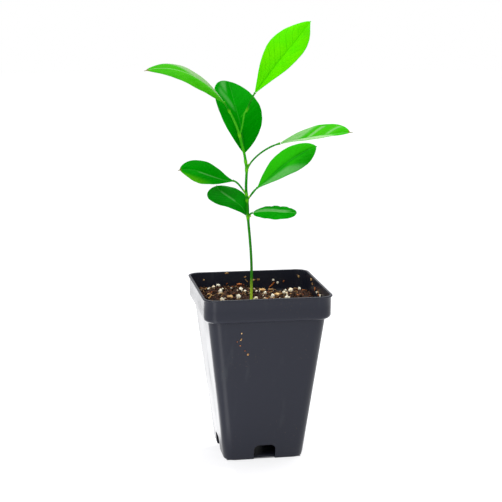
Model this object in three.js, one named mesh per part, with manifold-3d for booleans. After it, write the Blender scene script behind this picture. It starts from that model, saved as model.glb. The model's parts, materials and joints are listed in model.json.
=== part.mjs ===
// A young calamondin in a square nursery pot. Millimetres, +Z up, origin at the centre of the pot's foot.
// +X is the side the arched leaf reaches to, and -Y is the side most blades turn their faces to.
import * as THREE from "three";
import { mergeVertices } from "three/addons/utils/BufferGeometryUtils.js";
import Module from "manifold-3d";

const wasm = await Module();
wasm.setup();

// ---- Driving dimensions ----
const CLEARANCE = 0.3; // between pieces that touch

const potHeight = 117;
const potWall = 0.9;
const potFloor = 1.2;
const lipWidth = 87.6; // across the outside of the lip, side to side
const lipOverhang = 0.8; // how far the lip stands past the band
const lipThickness = 1.1;
const bandHeight = 16.5;
const bandStep = 3.2; // how far the band stands past the body, and the radius of its lower edge
const footWidth = 55; // across the body at the ground
const footRounding = 1.2;
const topCornerRadius = 8.5;
const footCornerRadius = 7;
const slotLength = 15; // one drain slot at the foot of each side
const slotHeight = 10.5;
const slotReach = 4; // how far the slot runs in under the floor

const mixDrop = 11.5; // from the top of the lip down to the mix beside the stem
const stemDepth = 30; // the part of the stem inside the mix
const stemFootRadius = 0.95;
const stemTopRadius = 0.88;
const twigRadius = 0.55;
const nodeSwelling = 0.3;
const petioleRadius = 0.6;
const petioleEndRadius = 0.7;
const bladeThickness = 0.6;
const budRadius = 0.75;
const grainRadius = 1.3;
const chipThickness = 1.1;
const fibreRadius = 0.35;

const soilLevel = potHeight - mixDrop;
const bandHalf = lipWidth / 2 - lipOverhang;
const bodyHalf = bandHalf - bandStep;
const bandFoot = potHeight - bandHeight;
const insideHalf = bandHalf - potWall;

// ---- Helpers ----
const vector = (values) => new THREE.Vector3(...values);
const lerp = THREE.MathUtils.lerp;
const radians = THREE.MathUtils.degToRad;

// Geometry as a manifold-3d solid, and back.
function toSolid(geometry) {
  const plain = (geometry.index ? geometry.toNonIndexed() : geometry.clone());
  plain.deleteAttribute("normal");
  plain.deleteAttribute("uv");
  const merged = mergeVertices(plain, 1e-4);
  const triVerts = [];
  const index = merged.index.array;
  for (let i = 0; i < index.length; i += 3) {
    const [a, b, c] = index.slice(i, i + 3);
    if (a !== b && b !== c && c !== a) triVerts.push(a, b, c);
  }
  return new wasm.Manifold(new wasm.Mesh({
    numProp: 3,
    vertProperties: new Float32Array(merged.attributes.position.array),
    triVerts: new Uint32Array(triVerts),
  }));
}

function toGeometry(solid) {
  const { vertProperties, triVerts } = solid.getMesh();
  const geometry = new THREE.BufferGeometry();
  geometry.setAttribute("position", new THREE.BufferAttribute(vertProperties, 3));
  geometry.setIndex(new THREE.BufferAttribute(triVerts, 1));
  geometry.computeVertexNormals();
  return geometry;
}

// Moves every vertex of a geometry by a function of its place.
function reshape(geometry, move) {
  const position = geometry.attributes.position;
  const point = new THREE.Vector3();
  for (let i = 0; i < position.count; i += 1) {
    point.fromBufferAttribute(position, i);
    const moved = move(point, i);
    position.setXYZ(i, moved.x, moved.y, moved.z);
  }
  return geometry;
}

// A profile of [half-width, height, corner radius] turned into a solid that is square in plan.
const CORNER_STEPS = 6;
function squareTurned(profile) {
  const perSide = CORNER_STEPS + 1;
  const points = profile.map(([half, height]) => new THREE.Vector2(half, height));
  const lathe = new THREE.LatheGeometry(points, 4 * perSide);
  return reshape(lathe, (point, i) => {
    const ring = Math.floor(i / profile.length) % (4 * perSide);
    const [half, height, corner] = profile[i % profile.length];
    const radius = Math.min(half, corner);
    const quarter = Math.floor(ring / perSide);
    const angle = (Math.PI / 2) * (quarter + (ring % perSide) / CORNER_STEPS);
    const middle = (Math.PI / 2) * (quarter + 0.5);
    const inset = (half - radius) * Math.SQRT2;
    return new THREE.Vector3(
      inset * Math.cos(middle) + radius * Math.cos(angle),
      inset * Math.sin(middle) + radius * Math.sin(angle),
      height,
    );
  });
}

// A round tapering tube along a curve, closed at both ends. grow makes it fatter and longer.
function limb(curve, radiusAt, steps, sides, grow = 0) {
  const span = curve.getPoint(1).sub(curve.getPoint(0));
  const level = Math.abs(span.y) < Math.abs(span.z);
  const reference = level ? new THREE.Vector3(0, 1, 0) : new THREE.Vector3(0, 0, 1);
  return reshape(new THREE.CylinderGeometry(1, 1, 1, sides, steps), (point) => {
    const t = THREE.MathUtils.clamp(point.y + 0.5, 0, 1);
    const tangent = curve.getTangent(t);
    const side = new THREE.Vector3().crossVectors(tangent, reference).normalize();
    const other = new THREE.Vector3().crossVectors(side, tangent);
    const radius = radiusAt(t) + grow;
    const end = t === 1 ? grow : t === 0 ? -grow : 0;
    return curve.getPoint(t)
      .addScaledVector(side, point.x * radius)
      .addScaledVector(other, point.z * radius)
      .addScaledVector(tangent, end);
  });
}

// ---- Materials ----
const finish = (color, roughness) => new THREE.MeshStandardMaterial({ color, roughness, metalness: 0 });
const blackPlastic = finish("#2d2f37", 0.42);
const peat = finish("#2b1a12", 0.95);
const greenStem = finish("#4c9d1f", 0.5);
const greenStalk = finish("#5ea52a", 0.5);
const limeBud = finish("#a3df34", 0.5);
const darkLeaf = finish("#0c8f0e", 0.4);
const paleLeaf = finish("#35c40c", 0.4);
const limeLeaf = finish("#66e800", 0.45);
const perliteWhite = finish("#efe8d8", 0.9);
const barkOrange = finish("#c2662a", 0.85);
const barkTan = finish("#c9a06a", 0.85);

const plant = new THREE.Group();
function addMesh(name, geometry, material) {
  const mesh = new THREE.Mesh(geometry, material);
  mesh.name = name;
  plant.add(mesh);
  return mesh;
}

// ---- Pot ----
const cornerAt = (height) => lerp(footCornerRadius, topCornerRadius, Math.min(1, height / bandFoot));
const bodyHalfAt = (height) => lerp(footWidth / 2, bodyHalf, height / bandFoot);

// Points on a quarter round, as [half-width, height] pairs.
function quarterRound(centreHalf, centreHeight, radius, from, to, steps) {
  return Array.from({ length: steps + 1 }, (_, i) => {
    const angle = radians(lerp(from, to, i / steps));
    return [centreHalf + radius * Math.cos(angle), centreHeight + radius * Math.sin(angle)];
  });
}

function potProfile() {
  const lipHalf = lipWidth / 2;
  const roundFoot = quarterRound(footWidth / 2 - footRounding, footRounding, footRounding, -90, 0, 3);
  const roundBand = quarterRound(bodyHalf, bandFoot + bandStep, bandStep, -90, 0, 4);
  const insideBand = quarterRound(bodyHalf, bandFoot + bandStep, bandStep - potWall, 0, -90, 3);
  const outline = [
    [0, 0],
    ...roundFoot,
    ...roundBand,
    [bandHalf, potHeight - lipThickness],
    [lipHalf, potHeight - lipThickness],
    [lipHalf, potHeight],
    [insideHalf, potHeight],
    ...insideBand,
    [bodyHalf - potWall, bandFoot + potWall],
    [bodyHalfAt(potFloor) - potWall, potFloor],
    [0, potFloor],
  ];
  const wallInset = (half, height) => (half < bodyHalfAt(height) ? potWall : 0);
  return outline.map(([half, height]) => [half, height, cornerAt(height) - wallInset(half, height)]);
}

// A drain slot with a rounded top, as a cutter that runs from outside the wall to slotReach inside it.
function slotCutter(turn) {
  const half = slotLength / 2;
  const round = slotHeight / 3;
  const outline = new THREE.Shape();
  outline.moveTo(-half, -1);
  outline.lineTo(half, -1);
  outline.lineTo(half, slotHeight - round);
  outline.absarc(half - round, slotHeight - round, round, 0, Math.PI / 2);
  outline.absarc(round - half, slotHeight - round, round, Math.PI / 2, Math.PI);
  const depth = slotReach + bodyHalfAt(slotHeight) - footWidth / 2 + CLEARANCE;
  const cutter = new THREE.ExtrudeGeometry(outline, { depth, bevelEnabled: false, curveSegments: 4 });
  cutter.rotateX(Math.PI / 2);
  cutter.translate(0, slotReach - footWidth / 2, 0);
  return toSolid(cutter.rotateZ(turn));
}

let potSolid = toSolid(squareTurned(potProfile()));
for (let side = 0; side < 4; side += 1) potSolid = potSolid.subtract(slotCutter((side * Math.PI) / 2));
addMesh("pot", toGeometry(potSolid), blackPlastic);

// ---- Stem and twigs ----
// Heights are above the mix. The swollen nodes carry the leaves.
const stemPath = [
  [-4.8, 0, -stemDepth],
  [-4.8, 0, -stemDepth / 2],
  [-4.8, 0, 0.5],
  [-4.7, 0, 13.2],
  [-4.8, 0, 23.8],
  [-5.3, 0, 34.3],
  [-6.1, 0, 44.1],
  [-6.9, 0, 52.5],
  [-7.4, 0, 58.4],
  [-7.6, 0, 65.1],
  [-8.0, 0, 70.3],
  [-8.6, 0, 74.5],
  [-8.8, 0, 80.3],
  [-8.6, 0, 86.3],
  [-8.5, 0, 91.0],
  [-9.2, 0, 96.7],
  [-10.1, 0, 101.9],
  [-12.0, 0, 108.8],
  [-13.5, 0, 114.6],
  [-15.7, -1.2, 120.6],
  [-18.7, -2.8, 126.9],
  [-21.3, -4.0, 131.4],
];
const LOW_NODE = 8;
const RIGHT_NODE = 10;
const LEFT_NODE = 11;
const ARCH_NODE = 14;
const BACK_NODE = 15;
const FORK = 18;
const LEFT_TIP = stemPath.length - 1;

const rightTwigPath = [
  stemPath[FORK],
  [-12.1, 0.2, 118.8],
  [-10.9, 0.8, 124.4],
  [-9.9, 1.4, 129.0],
  [-8.3, 1.6, 131.2],
];

const aboveMix = ([x, y, height]) => new THREE.Vector3(x, y, soilLevel + height);
const stemCurve = new THREE.CatmullRomCurve3(stemPath.map(aboveMix));
const rightTwigCurve = new THREE.CatmullRomCurve3(rightTwigPath.map(aboveMix));
const stemParameter = (node) => node / LEFT_TIP;

function stemRadiusAt(t) {
  const swollen = [LOW_NODE, RIGHT_NODE, LEFT_NODE, ARCH_NODE, BACK_NODE, LEFT_TIP];
  const beyondFork = Math.max(0, (t - stemParameter(FORK)) / (1 - stemParameter(FORK)));
  const plain = lerp(lerp(stemFootRadius, stemTopRadius, t), twigRadius, beyondFork);
  const swelling = swollen.reduce((sum, node) => {
    const away = (t - stemParameter(node)) * LEFT_TIP;
    return sum + nodeSwelling * Math.exp(-((away / 0.3) ** 2));
  }, 0);
  return plain + swelling;
}
const twigRadiusAt = (t) => twigRadius + nodeSwelling * Math.exp(-(((1 - t) / 0.12) ** 2));

const STEM_STEPS = 84;
const TWIG_STEPS = 14;
const stemShape = (grow) => toSolid(limb(stemCurve, stemRadiusAt, STEM_STEPS, 8, grow))
  .add(toSolid(limb(rightTwigCurve, twigRadiusAt, TWIG_STEPS, 8, grow)));
const stemRoom = stemShape(CLEARANCE);
addMesh("stem", toGeometry(stemShape(0)), greenStem);

// ---- Leaves: each is a petiole that starts inside the stem's line and a blade that starts at its end ----
// reach: from the node to the blade. rise: the petiole's first handle. length and halfWidth: the blade.
// run: the blade's three further control points, in blade lengths from its base.
const leaves = [
  {
    name: "low_left", node: LOW_NODE, material: darkLeaf,
    reach: [-0.3, 3.4, 0.6], rise: [-0.1, 1.4, 0.1],
    length: 36.8, halfWidth: 13.0,
    run: [[-0.13, 0.02, 0.34], [-0.40, 0.30, 0.27], [-0.46, 0.63, 0.47]],
    baseTaper: 0.8, tipTaper: 0.55, roll: 10, twist: 2, fold: 10, camber: 0.18,
  },
  {
    name: "low_right", node: LOW_NODE, material: darkLeaf,
    reach: [2.9, -2.0, 3.5], rise: [1.2, -0.9, 2.6],
    length: 29.8, halfWidth: 8.7,
    run: [[0.27, -0.09, 0.07], [0.56, -0.22, 0.05], [0.94, -0.33, 0.03]],
    baseTaper: 0.52, tipTaper: 0.47, roll: -20, twist: -5, fold: 8, camber: 0.21,
  },
  {
    name: "middle_right", node: RIGHT_NODE, material: darkLeaf,
    reach: [8.2, 6.0, 7.6], rise: [2.0, 0.8, 2.4],
    length: 53.8, halfWidth: 12.7,
    run: [[0.273, 0.149, 0.171], [0.509, 0.297, 0.37], [0.818, 0.284, 0.476]],
    baseTaper: 0.98, tipTaper: 0.68, roll: -17, twist: -38, fold: 11, camber: 0.2,
  },
  {
    name: "middle_left", node: LEFT_NODE, material: darkLeaf,
    reach: [-8.7, 4.0, 8.8], rise: [-2.2, 0.8, 2.2],
    length: 37.5, halfWidth: 11.1,
    run: [[-0.368, 0.197, 0.011], [-0.541, 0.269, 0.232], [-0.923, 0.269, 0.179]],
    baseTaper: 1.01, tipTaper: 0.71, roll: 32, twist: 15, fold: 11, camber: 0.19,
  },
  {
    name: "arched_right", node: ARCH_NODE, material: paleLeaf,
    reach: [21.8, -6.0, 18.5], rise: [3.2, -0.6, 8.6],
    length: 46.8, halfWidth: 12.2,
    run: [[0.357, -0.06, 0.088], [0.654, -0.197, 0.147], [0.947, -0.265, 0.175]],
    baseTaper: 0.97, tipTaper: 0.6, roll: -16, twist: 1, fold: 21, camber: 0.11,
  },
  {
    name: "back", node: BACK_NODE, material: darkLeaf,
    reach: [-0.3, 3.9, 5.1], rise: [0.0, 2.6, 1.2],
    length: 60, halfWidth: 18.6,
    run: [[-0.018, 0.03, 0.313], [-0.077, 0.267, 0.553], [-0.087, 0.583, 0.762]],
    baseTaper: 0.84, tipTaper: 0.66, roll: -16, twist: -1, fold: 17, camber: 0.09,
  },
  {
    name: "top_left", node: LEFT_TIP, material: paleLeaf,
    reach: [-3.6, -1.0, 5.9], rise: [-1.3, -0.4, 2.2],
    length: 61.8, halfWidth: 13.9,
    run: [[-0.186, -0.099, 0.22], [-0.471, -0.176, 0.442], [-0.85, -0.223, 0.358]],
    baseTaper: 1.0, tipTaper: 0.76, roll: 25, twist: -24, fold: 6, camber: 0.22,
  },
  {
    name: "top_right", node: null, material: limeLeaf,
    reach: [6.1, 2.4, 11.6], rise: [1.6, 0.6, 3.6],
    length: 62.4, halfWidth: 15.3,
    run: [[0.248, 0.019, 0.337], [0.45, 0.194, 0.49], [0.633, 0.184, 0.745]],
    baseTaper: 1.04, tipTaper: 0.66, roll: -24, twist: 22, fold: 20, camber: 0.11,
  },
];

const nodePlace = (leaf) => (leaf.node === null
  ? rightTwigCurve.getPoint(1)
  : stemCurve.getPoint(stemParameter(leaf.node)));

function petioleCurve(leaf) {
  const start = nodePlace(leaf);
  const end = start.clone().add(vector(leaf.reach));
  const ease = vector(leaf.run[0]).setLength(0.3 * start.distanceTo(end));
  return new THREE.CubicBezierCurve3(start, start.clone().add(vector(leaf.rise)), end.clone().sub(ease), end);
}

function bladeCurve(leaf) {
  const along = vector(leaf.run[0]).setLength(CLEARANCE);
  const base = nodePlace(leaf).add(vector(leaf.reach)).add(along);
  const further = leaf.run.map((step) => vector(step).multiplyScalar(leaf.length).add(base));
  return new THREE.CubicBezierCurve3(base, ...further);
}

// Half the blade's width at s from base to tip: a wedge at the base, fullest past the middle, a blunt tip.
function halfWidthAt(leaf, s) {
  const { baseTaper: a, tipTaper: b } = leaf;
  const fullest = (a / (a + b)) ** a * (b / (a + b)) ** b;
  const swell = (Math.max(s, 0) ** a * Math.max(1 - s, 0) ** b) / fullest;
  return leaf.halfWidth * swell + petioleEndRadius * (1 - 0.6 * s);
}

// The blade's surface, with v from -1 to 1 across it. Its halves lift by the fold and sink by the camber.
function bladeGeometry(leaf) {
  const curve = bladeCurve(leaf);
  const fold = radians(leaf.fold);
  return reshape(new THREE.BoxGeometry(2, 1, 1, 6, 14, 1), (point) => {
    const s = point.y + 0.5;
    const tangent = curve.getTangent(s);
    const level = new THREE.Vector3().crossVectors(tangent, new THREE.Vector3(0, 0, 1)).normalize();
    const lift = new THREE.Vector3().crossVectors(level, tangent);
    const roll = radians(leaf.roll + leaf.twist * (s - 0.5));
    const side = level.clone().multiplyScalar(Math.cos(roll)).addScaledVector(lift, Math.sin(roll));
    const face = lift.clone().multiplyScalar(Math.cos(roll)).addScaledVector(level, -Math.sin(roll));
    const width = halfWidthAt(leaf, s);
    const rise = width * (Math.abs(point.x) * Math.sin(fold) - leaf.camber * point.x ** 2);
    return curve.getPoint(s)
      .addScaledVector(side, width * point.x * Math.cos(fold))
      .addScaledVector(face, rise + point.z * bladeThickness);
  });
}

const petioleRadiusAt = (t) => lerp(petioleRadius, petioleEndRadius, t * t);
const petioleRooms = new Map();
for (const leaf of leaves) {
  const curve = petioleCurve(leaf);
  const steps = Math.max(5, Math.round(curve.getLength() / 2));
  const petiole = toSolid(limb(curve, petioleRadiusAt, steps, 8)).subtract(stemRoom);
  petioleRooms.set(leaf.name, toSolid(limb(curve, petioleRadiusAt, steps, 8, CLEARANCE)));
  addMesh(`petiole_${leaf.name}`, toGeometry(petiole), greenStalk);
  addMesh(`leaf_${leaf.name}`, bladeGeometry(leaf), leaf.material);
}

// ---- Axil buds: small eggs in the angle between a petiole and the stem ----
const buds = [
  { leaf: "low_right", node: LOW_NODE, lean: [1.3, -0.9, 1.5] },
  { leaf: "middle_right", node: RIGHT_NODE, lean: [1.3, 0.3, 2.2] },
  { leaf: "middle_left", node: LEFT_NODE, lean: [-1.3, 0.1, 2.2] },
  { leaf: "arched_right", node: ARCH_NODE, lean: [1.0, 0.3, 3.3] },
];
for (const { leaf, node, lean } of buds) {
  const egg = new THREE.SphereGeometry(budRadius, 8, 6).rotateX(Math.PI / 2).scale(1, 1, 1.5);
  const place = stemCurve.getPoint(stemParameter(node)).add(vector(lean));
  const bud = toSolid(egg.translate(place.x, place.y, place.z)).subtract(stemRoom)
    .subtract(petioleRooms.get(leaf));
  addMesh(`bud_${leaf}`, toGeometry(bud), limeBud);
}

// ---- Potting mix ----
// Places on the mix are shares of the half-width inside the band, so they keep clear of the walls.
const humps = [
  { x: -0.6, y: 0.55, height: 2.4, spread: 0.34 },
  { x: 0.5, y: 1.02, height: -3.4, spread: 0.2 },
  { x: 1.05, y: 0.95, height: -5, spread: 0.13 },
  { x: -0.16, y: 0.92, height: 1.6, spread: 0.12 },
  { x: 0.2, y: -0.2, height: 0.6, spread: 0.3 },
  { x: -0.75, y: -0.5, height: 0.8, spread: 0.25 },
];
function mixHeightAt(x, y) {
  const ripple = 0.25 * Math.sin(0.37 * x + 1) * Math.sin(0.31 * y);
  return humps.reduce((sum, hump) => {
    const away = ((x / insideHalf - hump.x) ** 2 + (y / insideHalf - hump.y) ** 2) / (2 * hump.spread ** 2);
    return sum + hump.height * Math.exp(-away);
  }, soilLevel + ripple);
}

// Everything under the mix's surface, down to below the pot's floor.
function underSurface() {
  const reach = lipWidth;
  return toSolid(reshape(new THREE.BoxGeometry(reach, reach, 1, 18, 18, 1), (point) => (
    new THREE.Vector3(point.x, point.y, point.z > 0 ? mixHeightAt(point.x, point.y) : 0)
  )));
}

function mixFill() {
  const fit = CLEARANCE;
  const ledge = bandFoot + potWall + fit;
  const inner = bodyHalf - potWall - fit;
  const outline = [
    [0, potFloor + fit],
    [bodyHalfAt(potFloor + fit) - potWall - fit, potFloor + fit],
    [inner, ledge],
    ...quarterRound(bodyHalf - fit, bandFoot + bandStep + fit, bandStep - potWall - fit, -90, 0, 3),
    [insideHalf - fit, potHeight],
    [0, potHeight],
  ];
  const inset = potWall + fit;
  return toSolid(squareTurned(outline.map(([half, height]) => [half, height, cornerAt(height) - inset])));
}

// ---- Loose bits lying in the top of the mix ----
const spread = (x, y) => [x * insideHalf, y * insideHalf];
function grainSolid(x, y, size, grow) {
  const radius = grainRadius * size;
  const grain = new THREE.IcosahedronGeometry(1, 1);
  const lumpy = reshape(grain, (point) => {
    const lump = 1 + 0.14 * Math.sin(5 * point.x + 9 * x) * Math.sin(4 * point.y + 7 * y + 2 * point.z);
    return point.clone().multiplyScalar(radius * lump + grow);
  });
  return toSolid(lumpy.translate(x, y, mixHeightAt(x, y) + 0.45 * radius));
}

// [x, y, size] of each perlite grain.
const grainSpots = [
  [-0.52, 0.92, 1.1], [-0.62, 0.81, 0.85], [-0.56, 0.42, 1.15], [-0.6, -0.02, 1.15], [-0.3, 0.15, 1.15],
  [-0.17, 0.67, 1.0], [-0.12, 0.54, 0.8], [-0.03, 0.03, 1.0], [0.2, 0.42, 0.9], [0.28, 0.18, 1.1],
  [0.53, 0.46, 0.8], [0.67, 0.57, 1.25], [0.86, 0.74, 0.9], [0.49, 0.04, 1.0], [0.3, -0.35, 0.9],
  [-0.46, -0.28, 0.9], [-0.3, -0.5, 1.0], [0.1, -0.62, 0.9], [0.66, -0.55, 1.05], [-0.75, -0.7, 0.9],
];
const grains = grainSpots.map(([x, y, size], i) => ({
  name: `perlite_${String(i + 1).padStart(2, "0")}`,
  solid: grainSolid(...spread(x, y), size, 0),
  room: grainSolid(...spread(x, y), size, CLEARANCE),
}));

// A five-sided flake of bark, tilted.
function chipSolid(x, y, size, turn, grow) {
  const outline = new THREE.Shape();
  const corners = [0, 1.1, 2.4, 3.7, 5.1];
  corners.forEach((angle, i) => {
    const radius = size * (i % 2 ? 0.8 : 1) + grow;
    outline[i ? "lineTo" : "moveTo"](1.5 * radius * Math.cos(angle), radius * Math.sin(angle));
  });
  const thickness = chipThickness + 2 * grow;
  const chip = new THREE.ExtrudeGeometry(outline, { depth: thickness, bevelEnabled: false });
  chip.translate(0, 0, -thickness / 2).rotateX(0.25).rotateZ(turn);
  return toSolid(chip.translate(x, y, mixHeightAt(x, y) + 0.4 * chipThickness));
}
const chipSpots = [
  { x: -0.16, y: 0.9, size: 1.6, turn: 0.4, material: barkOrange },
  { x: 0.2, y: 0.7, size: 1.8, turn: 0.1, material: barkTan },
  { x: -0.44, y: 0.17, size: 1.7, turn: 0.3, material: barkTan },
  { x: 0.38, y: 0.33, size: 1.7, turn: 0.2, material: barkTan },
  { x: 0.5, y: -0.3, size: 1.9, turn: 1.9, material: barkOrange },
];
const chips = chipSpots.map(({ x, y, size, turn, material }, i) => ({
  name: `bark_chip_${i + 1}`,
  material,
  solid: chipSolid(...spread(x, y), size, turn, 0),
  room: chipSolid(...spread(x, y), size, turn, CLEARANCE),
}));

// A fibre lies bowed on the mix.
const fibreSpots = [
  { from: [0.32, 0.74], over: [0.4, 0.84], to: [0.48, 0.92] },
  { from: [-0.8, 0.1], over: [-0.74, 0.24], to: [-0.78, 0.36] },
];
function fibreSolid({ from, over, to }) {
  const points = [from, over, to].map((spot) => {
    const [x, y] = spread(...spot);
    return new THREE.Vector3(x, y, mixHeightAt(x, y) + fibreRadius + CLEARANCE);
  });
  points[1].z += 0.6;
  return toSolid(limb(new THREE.CatmullRomCurve3(points), () => fibreRadius, 8, 6));
}

const looseRooms = [...grains, ...chips].map((bit) => bit.room);
const mixSolid = looseRooms.reduce((mix, room) => mix.subtract(room), mixFill().intersect(underSurface()))
  .subtract(stemRoom);
addMesh("potting_mix", toGeometry(mixSolid), peat);
for (const { name, solid } of grains) addMesh(name, toGeometry(solid), perliteWhite);
for (const { name, solid, material } of chips) addMesh(name, toGeometry(solid), material);
fibreSpots.forEach((spot, i) => addMesh(`fibre_${i + 1}`, toGeometry(fibreSolid(spot)), barkTan));

export default plant;
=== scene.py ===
"""A young calamondin in a square nursery pot, built and dressed piece by piece around its fixed frame.

Sizes are in millimetres and are turned into metres where a mesh is placed. Only the floor, its strips, the
lights and the camera's sight are in metres.
"""

from __future__ import annotations

import json
import logging
import math
import random
from collections.abc import Callable, Mapping, Sequence
from dataclasses import dataclass, field
from enum import Enum

import bmesh
import bpy
from mathutils import Matrix, Vector, noise

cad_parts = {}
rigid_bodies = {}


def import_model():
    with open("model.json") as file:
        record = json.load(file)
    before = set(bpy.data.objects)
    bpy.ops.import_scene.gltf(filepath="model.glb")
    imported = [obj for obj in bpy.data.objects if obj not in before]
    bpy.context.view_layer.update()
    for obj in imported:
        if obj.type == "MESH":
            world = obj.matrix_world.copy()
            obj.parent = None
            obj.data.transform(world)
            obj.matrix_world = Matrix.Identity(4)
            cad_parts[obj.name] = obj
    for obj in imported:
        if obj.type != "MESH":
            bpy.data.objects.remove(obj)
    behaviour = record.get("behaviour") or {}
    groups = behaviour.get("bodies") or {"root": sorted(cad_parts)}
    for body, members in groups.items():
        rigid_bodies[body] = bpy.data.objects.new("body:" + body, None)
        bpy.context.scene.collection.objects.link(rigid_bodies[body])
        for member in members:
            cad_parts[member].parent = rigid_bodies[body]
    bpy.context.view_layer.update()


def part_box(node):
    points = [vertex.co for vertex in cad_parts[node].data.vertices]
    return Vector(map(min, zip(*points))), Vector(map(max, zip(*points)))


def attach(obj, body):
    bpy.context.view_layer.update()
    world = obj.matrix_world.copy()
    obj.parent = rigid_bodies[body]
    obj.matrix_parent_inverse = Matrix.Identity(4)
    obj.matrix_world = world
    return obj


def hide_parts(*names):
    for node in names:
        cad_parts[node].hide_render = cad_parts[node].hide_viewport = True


log = logging.getLogger("calamondin")

MM = 0.001
BODY = "root"
Triple = tuple[float, float, float]
Colour = tuple[float, float, float, float]


class Slot(Enum):
    """The record's material slots."""

    POT = "pot_plastic"
    MIX = "peat_mix"
    STEM = "green_bark"
    STALK = "leaf_stalk"
    DARK_LEAF = "leaf_dark"
    FRESH_LEAF = "leaf_fresh"
    LIME_LEAF = "leaf_lime"
    BUD = "bud"
    PERLITE = "perlite"
    ORANGE_BARK = "bark_orange"
    TAN_BARK = "bark_tan"


def rgb(red: float, green: float, blue: float) -> Colour:
    """An opaque linear colour."""
    return (red, green, blue, 1.0)


def clamp(value: float, low: float = 0.0, high: float = 1.0) -> float:
    """The value held between two limits."""
    return max(low, min(high, value))


def lerp(first: float, second: float, share: float) -> float:
    """The value a share of the way from the first to the second."""
    return first + (second - first) * share


def bell(distance: float, width: float) -> float:
    """A smooth hump of height 1 that has faded by about two widths."""
    return math.exp(-((distance / width) ** 2))


# ---------------------------------------------------------------- shader maths


class Value:
    """A number in a node tree, used in ordinary sums that each add a Math node."""

    def __init__(self, tree: bpy.types.NodeTree, socket: bpy.types.NodeSocket) -> None:
        """Wraps one output socket of the tree."""
        self.tree = tree
        self.socket = socket

    def _sum(self, operation: str, *operands: Value | float) -> Value:
        """Adds one Math node.

        Args:
            operation: the Math node's operation.
            operands: what its sockets hold, in order.

        Returns:
            The node's result.
        """
        node = self.tree.nodes.new("ShaderNodeMath")
        node.operation = operation
        for socket, operand in zip(node.inputs, operands):
            if isinstance(operand, Value):
                self.tree.links.new(operand.socket, socket)
            else:
                socket.default_value = operand
        return Value(self.tree, node.outputs[0])

    def __add__(self, other: Value | float) -> Value:
        """self + other."""
        return self._sum("ADD", self, other)

    def __radd__(self, other: float) -> Value:
        """other + self."""
        return self._sum("ADD", other, self)

    def __sub__(self, other: Value | float) -> Value:
        """self - other."""
        return self._sum("SUBTRACT", self, other)

    def __rsub__(self, other: float) -> Value:
        """other - self."""
        return self._sum("SUBTRACT", other, self)

    def __mul__(self, other: Value | float) -> Value:
        """self * other."""
        return self._sum("MULTIPLY", self, other)

    def __rmul__(self, other: float) -> Value:
        """other * self."""
        return self._sum("MULTIPLY", other, self)

    def __truediv__(self, other: Value | float) -> Value:
        """self / other."""
        return self._sum("DIVIDE", self, other)

    def __pow__(self, other: Value | float) -> Value:
        """self to the power of other."""
        return self._sum("POWER", self, other)

    def __abs__(self) -> Value:
        """The size of self without its sign."""
        return self._sum("ABSOLUTE", self)

    def wave(self) -> Value:
        """The triangle of self over whole numbers: 0 on each whole number and 1 halfway between two."""
        return self._sum("PINGPONG", self, 0.5) * 2.0

    def most(self, other: Value | float) -> Value:
        """The larger of self and other."""
        return self._sum("MAXIMUM", self, other)


Input = Value | bpy.types.NodeSocket | float | Sequence[float]


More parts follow.
